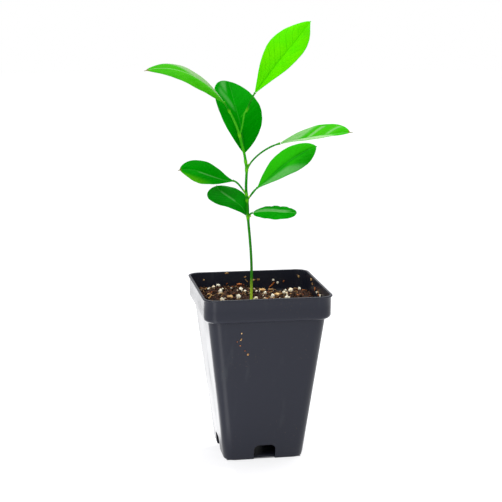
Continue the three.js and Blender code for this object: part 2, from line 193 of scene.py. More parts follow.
class Recipe:
    """The node tree of one material, with a Principled shader at its end."""

    def __init__(self, name: str, constants: Mapping[str, float | Colour]) -> None:
        """Starts a material.

        Args:
            name: the material's name.
            constants: what the shader's own sockets hold all over the surface.
        """
        self.material = bpy.data.materials.new(name)
        self.material.use_nodes = True
        self.tree = self.material.node_tree
        self.shader = self.tree.nodes["Principled BSDF"]
        for key, value in constants.items():
            self.shader.inputs[key].default_value = value

    def node(
        self,
        kind: str,
        settings: Mapping[str, object] | None = None,
        inputs: Mapping[str, Input] | None = None,
    ) -> bpy.types.Node:
        """Adds a node.

        Args:
            kind: the node's type.
            settings: its properties, which are set first; "stops" holds a ramp's places and colours.
            inputs: values or links by the name or the identifier of a socket.

        Returns:
            The new node.
        """
        made = self.tree.nodes.new(kind)
        for key, value in (settings or {}).items():
            if key != "stops":
                setattr(made, key, value)
                continue
            elements = made.color_ramp.elements
            while len(elements) < len(value):
                elements.new(1.0)
            for element, (place, colour) in zip(elements, value):
                element.position = place
                element.color = colour
        for key, value in (inputs or {}).items():
            socket = next(s for s in made.inputs if key in (s.identifier, s.name))
            self.plug(value, socket)
        return made

    def plug(self, value: Input, socket: bpy.types.NodeSocket) -> None:
        """Links a value to a socket, or sets it there if it is a plain number or colour."""
        if isinstance(value, Value):
            value = value.socket
        if isinstance(value, bpy.types.NodeSocket):
            self.tree.links.new(value, socket)
        else:
            socket.default_value = value

    def number(self, socket: bpy.types.NodeSocket) -> Value:
        """A socket as a number for sums."""
        return Value(self.tree, socket)

    def mark(self, name: str) -> Value:
        """The number that the mesh holds under this name."""
        return self.number(self.node("ShaderNodeAttribute", {"attribute_name": name}).outputs["Fac"])

    def place(self, stretch: Triple = (1.0, 1.0, 1.0)) -> bpy.types.NodeSocket:
        """Object coordinates in metres, stretched along each axis."""
        found = self.node("ShaderNodeTexCoord").outputs["Object"]
        return self.node("ShaderNodeMapping", inputs={"Vector": found, "Scale": stretch}).outputs[0]

    def grain(self, scale: float, detail: float = 3.0, stretch: Triple = (1.0, 1.0, 1.0)) -> Value:
        """Noise from 0 to 1.

        Args:
            scale: how many lumps go to a metre.
            detail: octaves.
            stretch: how much finer the noise is along each axis.

        Returns:
            The noise.
        """
        inputs = {"Vector": self.place(stretch), "Scale": scale, "Detail": detail}
        return self.number(self.node("ShaderNodeTexNoise", inputs=inputs).outputs[0])

    def cells(self, scale: float) -> Value:
        """The distance to the nearest of scattered points, in cells."""
        inputs = {"Vector": self.place(), "Scale": scale}
        return self.number(self.node("ShaderNodeTexVoronoi", inputs=inputs).outputs["Distance"])

    def rise(self, value: Value, low: float, high: float) -> Value:
        """A smooth step: 0 up to low, 1 from high. It falls where high is under low."""
        inputs = {"Value": value, "From Min": low, "From Max": high}
        if high < low:
            inputs = {"Value": value, "From Min": high, "From Max": low, "To Min": 1.0, "To Max": 0.0}
        settings = {"interpolation_type": "SMOOTHSTEP"}
        return self.number(self.node("ShaderNodeMapRange", settings, inputs).outputs[0])

    def blend(self, share: Value | float, first: Input, second: Input) -> bpy.types.NodeSocket:
        """The colour a share of the way from the first to the second."""
        inputs = {"Factor_Float": share, "A_Color": first, "B_Color": second}
        made = self.node("ShaderNodeMix", {"data_type": "RGBA"}, inputs)
        return next(s for s in made.outputs if s.identifier == "Result_Color")

    def ramp(self, value: Value, stops: Sequence[tuple[float, Colour]]) -> bpy.types.NodeSocket:
        """The colour that a ramp gives a value."""
        return self.node("ShaderNodeValToRGB", {"stops": stops}, {"Fac": value}).outputs["Color"]

    def relief(self, height: Value, depth: float) -> bpy.types.NodeSocket:
        """A bumped normal whose full height is depth millimetres."""
        inputs = {"Height": height, "Distance": depth * MM, "Strength": 1.0}
        return self.node("ShaderNodeBump", inputs=inputs).outputs[0]

    def dress(self, surface: Mapping[str, Input]) -> bpy.types.Material:
        """Feeds the shader.

        Args:
            surface: what feeds each named socket.

        Returns:
            The finished material.
        """
        for key, value in surface.items():
            self.plug(value, self.shader.inputs[key])
        return self.material


# ---------------------------------------------------------------- finishes


@dataclass(frozen=True)
class PotPlastic:
    """Black moulded plastic with a satin skin, handled and a little dusty."""

    black: Colour = rgb(0.0135, 0.0153, 0.0262)
    worn: Colour = rgb(0.024, 0.028, 0.038)
    dust: Colour = rgb(0.09, 0.065, 0.042)
    roughness: float = 0.24

    def material(self) -> bpy.types.Material:
        """Makes the material."""
        recipe = Recipe("black_plastic", {"Specular IOR Level": 0.28, "IOR": 1.5})
        clouds = recipe.grain(28.0, 4.0)
        streaks = recipe.grain(160.0, 3.0, (1.0, 1.0, 0.12))
        specks = recipe.rise(recipe.grain(900.0, 2.0), 0.66, 0.74)
        scuffs = recipe.rise(streaks, 0.56, 0.72) * recipe.rise(clouds, 0.4, 0.62)
        grime = specks * recipe.rise(clouds, 0.45, 0.62) * 0.5
        colour = recipe.blend(scuffs * 0.8, self.black, self.worn)
        colour = recipe.blend(grime, colour, self.dust)
        rough = self.roughness + clouds * 0.12 + scuffs * 0.1 + grime * 0.4
        height = recipe.grain(2600.0, 2.0) * 0.6 + streaks * 0.4
        return recipe.dress(
            {"Base Color": colour, "Roughness": rough, "Normal": recipe.relief(height, 0.018)}
        )


@dataclass(frozen=True)
class PeatEarth:
    """Damp dark peat with reddish fibre and pale dust in it."""

    dark: Colour = rgb(0.004, 0.002, 0.0015)
    brown: Colour = rgb(0.028, 0.0095, 0.004)
    red: Colour = rgb(0.17, 0.042, 0.012)
    pale: Colour = rgb(0.5, 0.32, 0.16)

    def material(self) -> bpy.types.Material:
        """Makes the material."""
        recipe = Recipe("peat", {"Roughness": 0.92, "Specular IOR Level": 0.25})
        clods = recipe.grain(420.0, 4.0)
        shreds = recipe.grain(1500.0, 3.0, (0.5, 1.0, 1.3))
        colour = recipe.blend(recipe.rise(clods, 0.4, 0.64), self.dark, self.brown)
        colour = recipe.blend(recipe.rise(shreds, 0.55, 0.68), colour, self.red)
        colour = recipe.blend(recipe.rise(recipe.grain(2100.0, 1.0), 0.69, 0.74) * 0.8, colour, self.pale)
        height = clods * 0.6 + shreds * 0.4
        return recipe.dress({"Base Color": colour, "Normal": recipe.relief(height, 0.5)})


@dataclass(frozen=True)
class PerliteFoam:
    """Popped white mineral foam, pitted, with cream and tan stains."""

    white: Colour = rgb(0.99, 0.93, 0.77)
    stain: Colour = rgb(0.8, 0.55, 0.26)

    def material(self) -> bpy.types.Material:
        """Makes the material."""
        recipe = Recipe("perlite_foam", {"Roughness": 0.88, "Specular IOR Level": 0.3})
        stains = recipe.rise(recipe.grain(130.0, 3.0), 0.5, 0.7)
        pits = recipe.cells(1900.0)
        colour = recipe.blend(stains * 0.75, self.white, self.stain)
        colour = recipe.blend(recipe.rise(pits, 0.22, 0.05) * 0.4, colour, self.stain)
        return recipe.dress({"Base Color": colour, "Normal": recipe.relief(pits, 0.16)})


@dataclass(frozen=True)
class BarkFinish:
    """Split bark or coir with a long grain."""

    name: str
    light: Colour
    dark: Colour

    def material(self) -> bpy.types.Material:
        """Makes the material."""
        recipe = Recipe(self.name, {"Roughness": 0.85, "Specular IOR Level": 0.3})
        fibres = recipe.grain(900.0, 3.0, (0.35, 1.4, 1.0))
        blotches = recipe.grain(300.0, 2.0)
        colour = recipe.blend(recipe.rise(fibres, 0.38, 0.66), self.dark, self.light)
        colour = recipe.blend(recipe.rise(blotches, 0.6, 0.75) * 0.5, colour, self.dark)
        return recipe.dress({"Base Color": colour, "Normal": recipe.relief(fibres, 0.22)})


@dataclass(frozen=True)
class ShootFinish:
    """Green skin of a stem or a leaf stalk, coloured along its length."""

    name: str
    stops: tuple[tuple[float, Colour], ...]
    joint: Colour
    roughness: float = 0.42

    def material(self) -> bpy.types.Material:
        """Makes the material, which reads the marks along and joint."""
        recipe = Recipe(self.name, {"Specular IOR Level": 0.02})
        streaks = recipe.grain(700.0, 3.0, (1.0, 1.0, 0.14))
        flecks = recipe.rise(recipe.grain(1500.0, 2.0, (1.0, 1.0, 0.4)), 0.64, 0.72)
        colour = recipe.ramp(recipe.mark("along"), self.stops)
        colour = recipe.blend(recipe.mark("joint"), colour, self.joint)
        colour = recipe.blend(recipe.rise(streaks, 0.45, 0.75) * 0.25, colour, self.joint)
        colour = recipe.blend(flecks * 0.2, colour, self.joint)
        rough = self.roughness + streaks * 0.15
        relief = recipe.relief(streaks + flecks * 0.5, 0.06)
        return recipe.dress({"Base Color": colour, "Roughness": rough, "Normal": relief})


@dataclass(frozen=True)
class SheenAndShadeBand:
    """A band of painted sheen on a blade, bounded along the side veins and across the blade.

    The first two numbers run from the base, 0, to the tip, 1, and the next two from one margin, -1, to the
    other, 1.
    """

    start: float
    end: float
    near: float
    far: float
    strength: float
    softness: float = 0.05
    # With a tint of its own, the band paints that colour instead of the sheen, such as painted shade along a
    # midrib.
    tint: Colour | None = None


@dataclass(frozen=True)
class LeafSkin:
    """The glossy upper side of a blade and its paler matt underside."""

    body: Colour
    light: Colour
    vein: Colour = rgb(0.01, 0.36, 0.008)
    rib: Colour = rgb(0.11, 0.48, 0.085)
    # The colour of the painted sheen bands, also used for the underside's raised veins.
    sheen: Colour = rgb(0.16, 0.44, 0.14)
    under: Colour = rgb(0.13, 0.42, 0.05)
    brown: Colour = rgb(0.2, 0.12, 0.02)
    # Painted light on one half of the blade: above 0 the half where across is positive is painted brighter,
    # below 0 the other half.
    painted_lit_half: float = 0.0
    veins: float = 9.0
    vein_share: float = 0.3
    rib_share: float = 0.4
    brown_tip: float = 0.0
    lime_edge: float = 0.0
    roughness: float = 0.4
    # Bands of painted sheen and painted shade on the upper side.
    streaks: tuple[SheenAndShadeBand, ...] = ()

    def _vein_masks(self, recipe: Recipe, lean: float) -> tuple[Value, Value, Value]:
        """The midrib, the side veins and the place along the side veins.

        Args:
            recipe: the material's tree.
            lean: how far a side vein runs forward on its way to the margin, in blade lengths.

        Returns:
            Masks of the midrib and of the side veins, and a number that is constant along a side vein.
        """
        along = recipe.mark("along")
        across = recipe.mark("across")
        off_rib = recipe.mark("off_rib")
        station = along - abs(across) * lean
        drift = recipe.grain(90.0, 2.0) * 0.03
        shift = recipe.rise(across, -0.02, 0.02) * 0.45
        phase = (station + drift) * self.veins + shift
        inside = recipe.rise(along, 0.99, 0.9) * recipe.rise(abs(across), 0.99, 0.7)
        side = recipe.rise(phase.wave(), 0.1, 0.0) * inside
        rib = recipe.rise(off_rib - (1.0 - along) * 0.25, 0.42, 0.12)
        return rib, side, station

    def upper(self, name: str, lean: float) -> bpy.types.Material:
        """Makes the upper skin, which reads the marks along, across and off_rib.

        Args:
            name: the blade's name.
            lean: how far the side veins run forward, in blade lengths.

        Returns:
            The material.
        """
        recipe = Recipe(f"{name}_upper", {"Specular IOR Level": 0.006, "IOR": 1.45})
        rib, side, station = self._vein_masks(recipe, lean)
        along = recipe.mark("along")
        across = recipe.mark("across")
        clouds = recipe.grain(70.0, 3.0)
        mottle = recipe.grain(520.0, 3.0)
        lighter = recipe.rise(clouds + mottle * 0.25, 0.42, 0.85) * 0.8
        # Painted light: besides the random clouds, one half of the blade is painted brighter, as the light
        # falls on it.
        if self.painted_lit_half > 0.0:
            lighter = lighter.most(recipe.rise(across, -0.1, 0.25) * self.painted_lit_half)
        elif self.painted_lit_half < 0.0:
            lighter = lighter.most(recipe.rise(across, 0.1, -0.25) * -self.painted_lit_half)
        colour = recipe.blend(lighter, self.body, self.light)
        # Painted sheen: pale bands where the glossy blade catches light; a tinted band paints its own
        # colour, such as painted shade along a midrib.
        for streak in self.streaks:
            soft = streak.softness
            reach = recipe.rise(station, streak.start - soft, streak.start + soft)
            reach = reach * recipe.rise(station, streak.end + soft, streak.end - soft)
            reach = reach * recipe.rise(across, streak.near - 2 * soft, streak.near + 2 * soft)
            reach = reach * recipe.rise(across, streak.far + 2 * soft, streak.far - 2 * soft)
            tint = streak.tint or self.sheen
            colour = recipe.blend(reach * streak.strength * (0.65 + mottle * 0.7), colour, tint)
        colour = recipe.blend(side * self.vein_share, colour, self.vein)
        colour = recipe.blend(rib * self.rib_share, colour, self.rib)
        edge = recipe.rise(abs(across), 0.95, 0.995)
        colour = recipe.blend(edge * 0.45, colour, self.vein)
        if self.lime_edge:
            rim = recipe.rise(across, -0.45, -0.95) * recipe.rise(along, 0.25, 0.6)
            colour = recipe.blend(rim * self.lime_edge, colour, rgb(0.16, 0.55, 0.01))
        if self.brown_tip:
            tip = recipe.rise(along, 0.985 - 0.02 * self.brown_tip, 1.0)
            colour = recipe.blend(tip * 0.85, colour, self.brown)
        glands = recipe.rise(recipe.cells(1300.0), 0.16, 0.04)
        colour = recipe.blend(glands * 0.12, colour, self.vein)
        rough = self.roughness + mottle * 0.12 + side * 0.1
        height = mottle * 0.5 - side * 0.5 - rib * 0.4 + glands * 0.2
        return recipe.dress(
            {"Base Color": colour, "Roughness": rough, "Normal": recipe.relief(height, 0.1)}
        )

    def lower(self, name: str, lean: float) -> bpy.types.Material:
        """Makes the underside, with raised veins.

        Args:
            name: the blade's name.
            lean: how far the side veins run forward, in blade lengths.

        Returns:
            The material.
        """
        recipe = Recipe(f"{name}_under", {"Specular IOR Level": 0.08, "IOR": 1.45})
        rib, side, _ = self._vein_masks(recipe, lean)
        mottle = recipe.grain(420.0, 4.0)
        colour = recipe.blend(recipe.rise(mottle, 0.35, 0.75) * 0.4, self.under, self.light)
        colour = recipe.blend(side * 0.4, colour, self.sheen)
        colour = recipe.blend(rib * 0.6, colour, self.sheen)
        height = mottle * 0.3 + side * 0.6 + rib * 0.6
        rough = 0.55 + mottle * 0.15
        return recipe.dress(
            {"Base Color": colour, "Roughness": rough, "Normal": recipe.relief(height, 0.16)}
        )


@dataclass(frozen=True)
class BudSkin:
    """Tender bud scales, lime at the tip."""

    base: Colour = rgb(0.16, 0.5, 0.02)
    tip: Colour = rgb(0.45, 0.78, 0.06)

    def material(self) -> bpy.types.Material:
        """Makes the material, which reads the mark along."""
        recipe = Recipe("bud_scales", {"Roughness": 0.4, "Specular IOR Level": 0.35})
        ribs = recipe.grain(1600.0, 2.0, (1.0, 1.0, 0.3))
        share = recipe.rise(recipe.mark("along") + ribs * 0.3, 0.2, 0.9)
        colour = recipe.blend(share, self.base, self.tip)
        return recipe.dress({"Base Color": colour, "Normal": recipe.relief(ribs, 0.08)})


# ---------------------------------------------------------------- mesh work


def as_data(name: str, mesh: bmesh.types.BMesh) -> bpy.types.Mesh:
    """Turns a bmesh into mesh data and frees it."""
    data = bpy.data.meshes.new(name)
    mesh.to_mesh(data)
    mesh.free()
    return data


def deliver(
    name: str,
    mesh: bmesh.types.BMesh,
    materials: Sequence[bpy.types.Material],
    slot: Slot,
    stands_for: Sequence[str] = (),
    crease: float = 180.0,
) -> bpy.types.Object:
    """Turns a finished bmesh into a piece that rides on the body.

    Args:
        name: the piece's name.
        mesh: its shape, in metres, which is freed.
        materials: its materials in slot order.
        slot: the record's material slot; not used.
        stands_for: the CAD nodes that it replaces.
        crease: edges sharper than this many degrees stay sharp.

    Returns:
        The piece's object.
    """
    data = as_data(name, mesh)
    data.shade_smooth()
    if crease < 180.0:
        data.set_sharp_from_angle(angle=math.radians(crease))
    for material in materials:
        data.materials.append(material)
    piece = bpy.data.objects.new(name, data)
    bpy.context.scene.collection.objects.link(piece)
    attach(piece, BODY)
    if stands_for:
        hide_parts(*stands_for)
    log.info("%s: %d faces", name, len(data.polygons))
    return piece


def laid_grid(
    columns: int,
    rows: int,
    place: Callable[[float, float], Vector],
    marks: Mapping[str, Callable[[float, float], float]],
) -> bmesh.types.BMesh:
    """A grid laid out by a rule.

    Args:
        columns: cells across.
        rows: cells along.
        place: gives the point for a share across and a share along, in metres.
        marks: named numbers that the mesh keeps for its material, by the same two shares.

    Returns:
        The open sheet.
    """
    mesh = bmesh.new()
    bmesh.ops.create_grid(mesh, x_segments=columns, y_segments=rows, size=0.5)
    layers = {name: mesh.verts.layers.float.new(name) for name in marks}
    for vert in mesh.verts:
        across, along = vert.co.x + 0.5, vert.co.y + 0.5
        for name, rule in marks.items():
            vert[layers[name]] = rule(across, along)
        vert.co = place(across, along)
    return mesh


def add_part(whole: bmesh.types.BMesh, part: bmesh.types.BMesh) -> None:
    """Adds a part to a mesh and frees the part."""
    data = as_data("part", part)
    whole.from_mesh(data)
    bpy.data.meshes.remove(data)


def round_edges(mesh: bmesh.types.BMesh, edges: list[bmesh.types.BMEdge], radius: float, steps: int) -> None:
    """Rounds edges off.

    Args:
        mesh: the mesh that they belong to.
        edges: the edges.
        radius: how far the rounding reaches, in millimetres.
        steps: faces across the rounding.
    """
    bmesh.ops.bevel(
        mesh, geom=edges, offset=radius * MM, affect="EDGES", segments=steps, profile=0.5, material=-1
    )


def close_up(mesh: bmesh.types.BMesh) -> None:
    """Merges the seam of a rolled-up grid, caps its ends and turns its faces out."""
    bmesh.ops.remove_doubles(mesh, verts=mesh.verts, dist=1e-7)
    bmesh.ops.holes_fill(mesh, edges=[edge for edge in mesh.edges if edge.is_boundary], sides=0)
    bmesh.ops.recalc_face_normals(mesh, faces=mesh.faces)


def merged_copy(node: str) -> bmesh.types.BMesh:
    """A copy of a CAD node's mesh with its loose triangles joined."""
    mesh = bmesh.new()
    mesh.from_mesh(bpy.data.objects[node].data)
    bmesh.ops.remove_doubles(mesh, verts=mesh.verts, dist=1e-6)
    return mesh


def roughen(verts: Sequence[bmesh.types.BMVert], size: float, depth: float, seed: float) -> None:
    """Pushes points in and out along their normals.

    Args:
        verts: the points.
        size: the lumps' size in millimetres.
        depth: how far they move at most, in millimetres.
        seed: shifts the lumps, so that no two pieces are alike.
    """
    shift = Vector((seed * 3.1, seed * 7.7, seed * 5.3))
    moves = [noise.noise(vert.co / (size * MM) + shift) * depth * MM for vert in verts]
    normals = [vert.normal.copy() for vert in verts]
    for vert, normal, move in zip(verts, normals, moves):
        vert.co += normal * move


@dataclass
class Thread:
    """A smooth line through given points, in metres."""

    points: list[Vector]

    def at(self, share: float) -> Vector:
        """The point a share of the way along, where each stretch between two points counts alike.

        Args:
            share: from 0 at the first point to 1 at the last.

        Returns:
            The point.
        """
        last = len(self.points) - 1
        scaled = clamp(share) * last
        index = min(int(scaled), last - 1)
        first, second = self.points[index], self.points[index + 1]
        before = self.points[index - 1] if index else 2 * first - second
        after = self.points[index + 2] if index + 2 <= last else 2 * second - first
        gaps = [math.sqrt((b - a).length) for a, b in ((before, first), (first, second), (second, after))]
        early, late = gaps[0] + gaps[1], gaps[1] + gaps[2]
        leave = (first - before) / gaps[0] - (second - before) / early + (second - first) / gaps[1]
        reach = (second - first) / gaps[1] - (after - first) / late + (after - second) / gaps[2]
        leave, reach = leave * gaps[1], reach * gaps[1]
        t = scaled - index
        square, cube = t * t, t * t * t
        return (
            first * (2 * cube - 3 * square + 1)
            + leave * (cube - 2 * square + t)
            + second * (3 * square - 2 * cube)
            + reach * (cube - square)
        )

    def heading(self, share: float) -> Vector:
        """The unit direction of the line at a share of the way along."""
        step = 1e-3
        return (self.at(min(1.0, share + step)) - self.at(max(0.0, share - step))).normalized()


@dataclass
class Bend:
    """A cubic Bezier curve through four control points, in metres."""

    points: tuple[Vector, Vector, Vector, Vector]

    def at(self, share: float) -> Vector:
        """The point a share of the way along."""
        a, b, c, d = self.points
        rest = 1.0 - share
        return a * rest**3 + b * (3 * rest**2 * share) + c * (3 * rest * share**2) + d * share**3

    def heading(self, share: float) -> Vector:
        """The unit direction of the curve at a share of the way along."""
        a, b, c, d = self.points
        rest = 1.0 - share
        return ((b - a) * rest**2 + (c - b) * (2 * rest * share) + (d - c) * share**2).normalized()


def rod(
    line: Thread | Bend,
    size_at: Callable[[float, float], tuple[float, float]],
    sides: int,
    steps: int,
    marks: Mapping[str, Callable[[float, float], float]],
    upward: Vector = Vector((0.0, 1.0, 0.0)),
) -> bmesh.types.BMesh:
    """A closed rod along a line.

    Args:
        line: the line that it follows.
        size_at: its section's half-sizes in millimetres, sideways and upwards, by angle and share along.
        sides: faces round it.
        steps: faces along it.
        marks: named numbers kept for the material.
        upward: what the section's upward side is turned to.

    Returns:
        The rod.
    """

    def place(across: float, along: float) -> Vector:
        """The point on the rod's skin."""
        angle = math.tau * across
        heading = line.heading(along)
        side = heading.cross(upward).normalized()
        over = side.cross(heading)
        wide, high = size_at(angle, along)
        return line.at(along) + side * (wide * MM * math.cos(angle)) + over * (high * MM * math.sin(angle))

    mesh = laid_grid(sides, steps, place, marks)
    close_up(mesh)
    return mesh


# ---------------------------------------------------------------- the pot


@dataclass
class Pot:
    """The square pot: a tapered body, a band that steps out, a flat lip and drain slots at its foot."""

    wall: float = 0.9
    floor: float = 1.2
    lip_overhang: float = 0.8
    lip_thickness: float = 1.1
    lip_round: float = 0.4
    band_height: float = 16.5
    band_step: float = 3.2
    foot_width: float = 55.0
    foot_round: float = 1.2
    top_corner: float = 8.5
    foot_corner: float = 7.0
    slot_length: float = 15.0
    slot_height: float = 10.5
    slot_reach: float = 4.0
    slot_spare: float = 2.0
    corner_steps: int = 12
    side_steps: int = 12
    bow: float = 0.3
    crease: float = 38.0
    height: float = field(init=False)
    lip_half: float = field(init=False)

    def __post_init__(self) -> None:
        """Takes the outer sizes from the frame."""
        _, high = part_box("pot")
        self.height = high.z / MM
        self.lip_half = high.x / MM

    @property
    def band_half(self) -> float:
        """Half the width across the band."""
        return self.lip_half - self.lip_overhang

    @property
    def body_half(self) -> float:
        """Half the width across the top of the body."""
        return self.band_half - self.band_step

    @property
    def band_foot(self) -> float:
        """The height of the band's lower edge."""
        return self.height - self.band_height

    @property
    def inside_half(self) -> float:
        """Half the width of the opening."""
        return self.band_half - self.wall

    def body_at(self, height: float) -> float:
        """Half the body's width at a height."""
        return lerp(self.foot_width / 2, self.body_half, height / self.band_foot)

    def corner_at(self, height: float) -> float:
        """The radius of the outer corner at a height."""
        return lerp(self.foot_corner, self.top_corner, min(1.0, height / self.band_foot))

    def _round(
        self, half: float, height: float, radius: float, start: float, end: float, steps: int
    ) -> list[tuple[float, float]]:
        """Points of a quarter round.

        Args:
            half: its centre's distance from the pot's axis.
            height: its centre's height.
            radius: its radius.
            start: its first angle in degrees.
            end: its last angle.
            steps: how many flats stand for it.

        Returns:
            Pairs of half-width and height.
        """
        angles = [math.radians(lerp(start, end, i / steps)) for i in range(steps + 1)]
        return [(half + radius * math.cos(a), height + radius * math.sin(a)) for a in angles]

    def _profile(self) -> list[tuple[float, float]]:
        """The wall's outline, from under the floor, up the outside, over the lip and down the inside."""
        top, wall, step = self.height, self.wall, self.band_step
        under_lip = top - self.lip_thickness
        soft = self.lip_round
        body = [(self.body_at(z), z) for z in (lerp(3.0, self.band_foot - 3.0, i / 12) for i in range(13))]
        inner = [(half - wall, z) for half, z in reversed(body)]
        foot_half = self.foot_width / 2 - self.foot_round
        return [
            (foot_half - 5.0, 0.5),
            (foot_half - 4.0, 0.0),
            *self._round(foot_half, self.foot_round, self.foot_round, -90, 0, 5),
            *body,
            (self.body_half, self.band_foot),
            (self.body_half + 0.15, self.band_foot),
            *self._round(self.body_half, self.band_foot + step, step, -84, 0, 7),
            (self.band_half, self.band_foot + 8.0),
            (self.band_half, under_lip - 0.4),
            (self.band_half + 0.2, under_lip),
            *self._round(self.lip_half - soft, under_lip + soft, soft, -90, 0, 3),
            *self._round(self.lip_half - soft, top - soft, soft, 0, 90, 4),
            *self._round(self.inside_half + soft, top - soft, soft, 90, 180, 4),
            (self.inside_half, self.band_foot + 8.0),
            *self._round(self.body_half, self.band_foot + step, step - wall, 0, -90, 6),
            (self.body_half - wall + 0.4, self.band_foot + wall),
            (self.body_half - wall, self.band_foot + wall - 0.4),
            *inner,
            (self.body_at(self.floor) - wall, self.floor),
        ]

    def _ring_point(self, share: float, half: float, height: float, outer: bool) -> Vector:
        """A point of one ring.

        Args:
            share: how far round the ring it is, from 0 to 1.
            half: half the ring's width.
            height: its height.
            outer: whether the ring is on the outside.

        Returns:
            The point in metres.
        """
        steps = self.corner_steps + self.side_steps
        radius = self.corner_at(height) - (0.0 if outer else self.wall)
        turn, k = divmod(round(share * 4 * steps), steps)
        flat = half - radius
        if k <= self.side_steps:
            y = lerp(-flat, flat, k / self.side_steps)
            sunk = self.bow * math.cos(0.5 * math.pi * y / flat) * math.sin(math.pi * height / self.height)
            point = Vector((half - sunk if height < self.band_foot else half, y, height))
        else:
            angle = 0.5 * math.pi * (k - self.side_steps) / self.corner_steps
            point = Vector((flat + radius * math.cos(angle), flat + radius * math.sin(angle), height))
        return Matrix.Rotation(0.5 * math.pi * turn, 3, "Z") @ point * MM

    def _shell(self) -> bmesh.types.BMesh:
        """The pot without its slots: a rounded square extruded from ring to ring."""
        mesh = bmesh.new()
        around = mesh.verts.layers.float.new("around")
        count = 4 * (self.corner_steps + self.side_steps)
        ring = bmesh.ops.create_circle(mesh, cap_ends=True, segments=count, radius=1.0)["verts"]
        for index, vert in enumerate(ring):
            vert[around] = index / count
        edges = mesh.edges[:]
        profile = self._profile()
        lip_top = max(range(len(profile)), key=lambda i: profile[i][1])
        for index, (half, height) in enumerate(profile):
            if index:
                grown = bmesh.ops.extrude_edge_only(mesh, edges=edges)["geom"]
                ring = [item for item in grown if isinstance(item, bmesh.types.BMVert)]
                edges = [edge for edge in mesh.edges if edge.is_boundary]
            for vert in ring:
                vert.co = self._ring_point(vert[around], half, height, index <= lip_top)
        bmesh.ops.holes_fill(mesh, edges=edges, sides=0)
        bmesh.ops.recalc_face_normals(mesh, faces=mesh.faces)
        return mesh

    def _slot_cutter(self, turn: int) -> bmesh.types.BMesh:
        """A round-topped block that cuts one drain slot.

        Args:
            turn: which side of the pot, in quarter turns.

        Returns:
            The block in metres.
        """
        depth = self.slot_reach + self.slot_spare
        mesh = bmesh.new()
        bmesh.ops.create_cube(mesh, size=1.0)
        size = Vector((self.slot_length, depth, 2 * self.slot_height)) * MM
        bmesh.ops.scale(mesh, vec=size, verts=mesh.verts)
        upright = [e for e in mesh.edges if abs((e.verts[0].co - e.verts[1].co).y) > 0.5 * depth * MM]
        top = [e for e in upright if e.verts[0].co.z > 0]
        round_edges(mesh, top, self.slot_height / 3, 8)
        out = self.foot_width / 2 + self.slot_spare - depth / 2
        bmesh.ops.translate(mesh, vec=Vector((0.0, -out, 0.0)) * MM, verts=mesh.verts)
        bmesh.ops.rotate(mesh, matrix=Matrix.Rotation(0.5 * math.pi * turn, 3, "Z"), verts=mesh.verts)
        return mesh

    def _cut(self, piece: bpy.types.Object, cutter: bmesh.types.BMesh) -> None:
        """Cuts a block out of a piece and makes the cut part of its mesh."""
        block = bpy.data.objects.new("cutter", as_data("cutter", cutter))
        bpy.context.scene.collection.objects.link(block)
        modifier = piece.modifiers.new("slot", "BOOLEAN")
        modifier.object = block
        modifier.solver = "EXACT"
        graph = bpy.context.evaluated_depsgraph_get()
        cut = bpy.data.meshes.new_from_object(piece.evaluated_get(graph))
        piece.modifiers.clear()
        piece.data = cut
        bpy.data.objects.remove(block)

    def build(self, finish: PotPlastic) -> None:
        """Makes the pot."""
        piece = deliver("nursery_pot", self._shell(), [finish.material()], Slot.POT, ["pot"])
        for turn in range(4):
            self._cut(piece, self._slot_cutter(turn))
        piece.data.shade_smooth()
        piece.data.set_sharp_from_angle(angle=math.radians(self.crease))


# ---------------------------------------------------------------- the mix and what lies in it


@dataclass(frozen=True)
class Hump:
    """A rise or a hollow in the mix. Places and spread are shares of the opening's half-width."""

    x: float
    y: float
    height: float
    spread: float


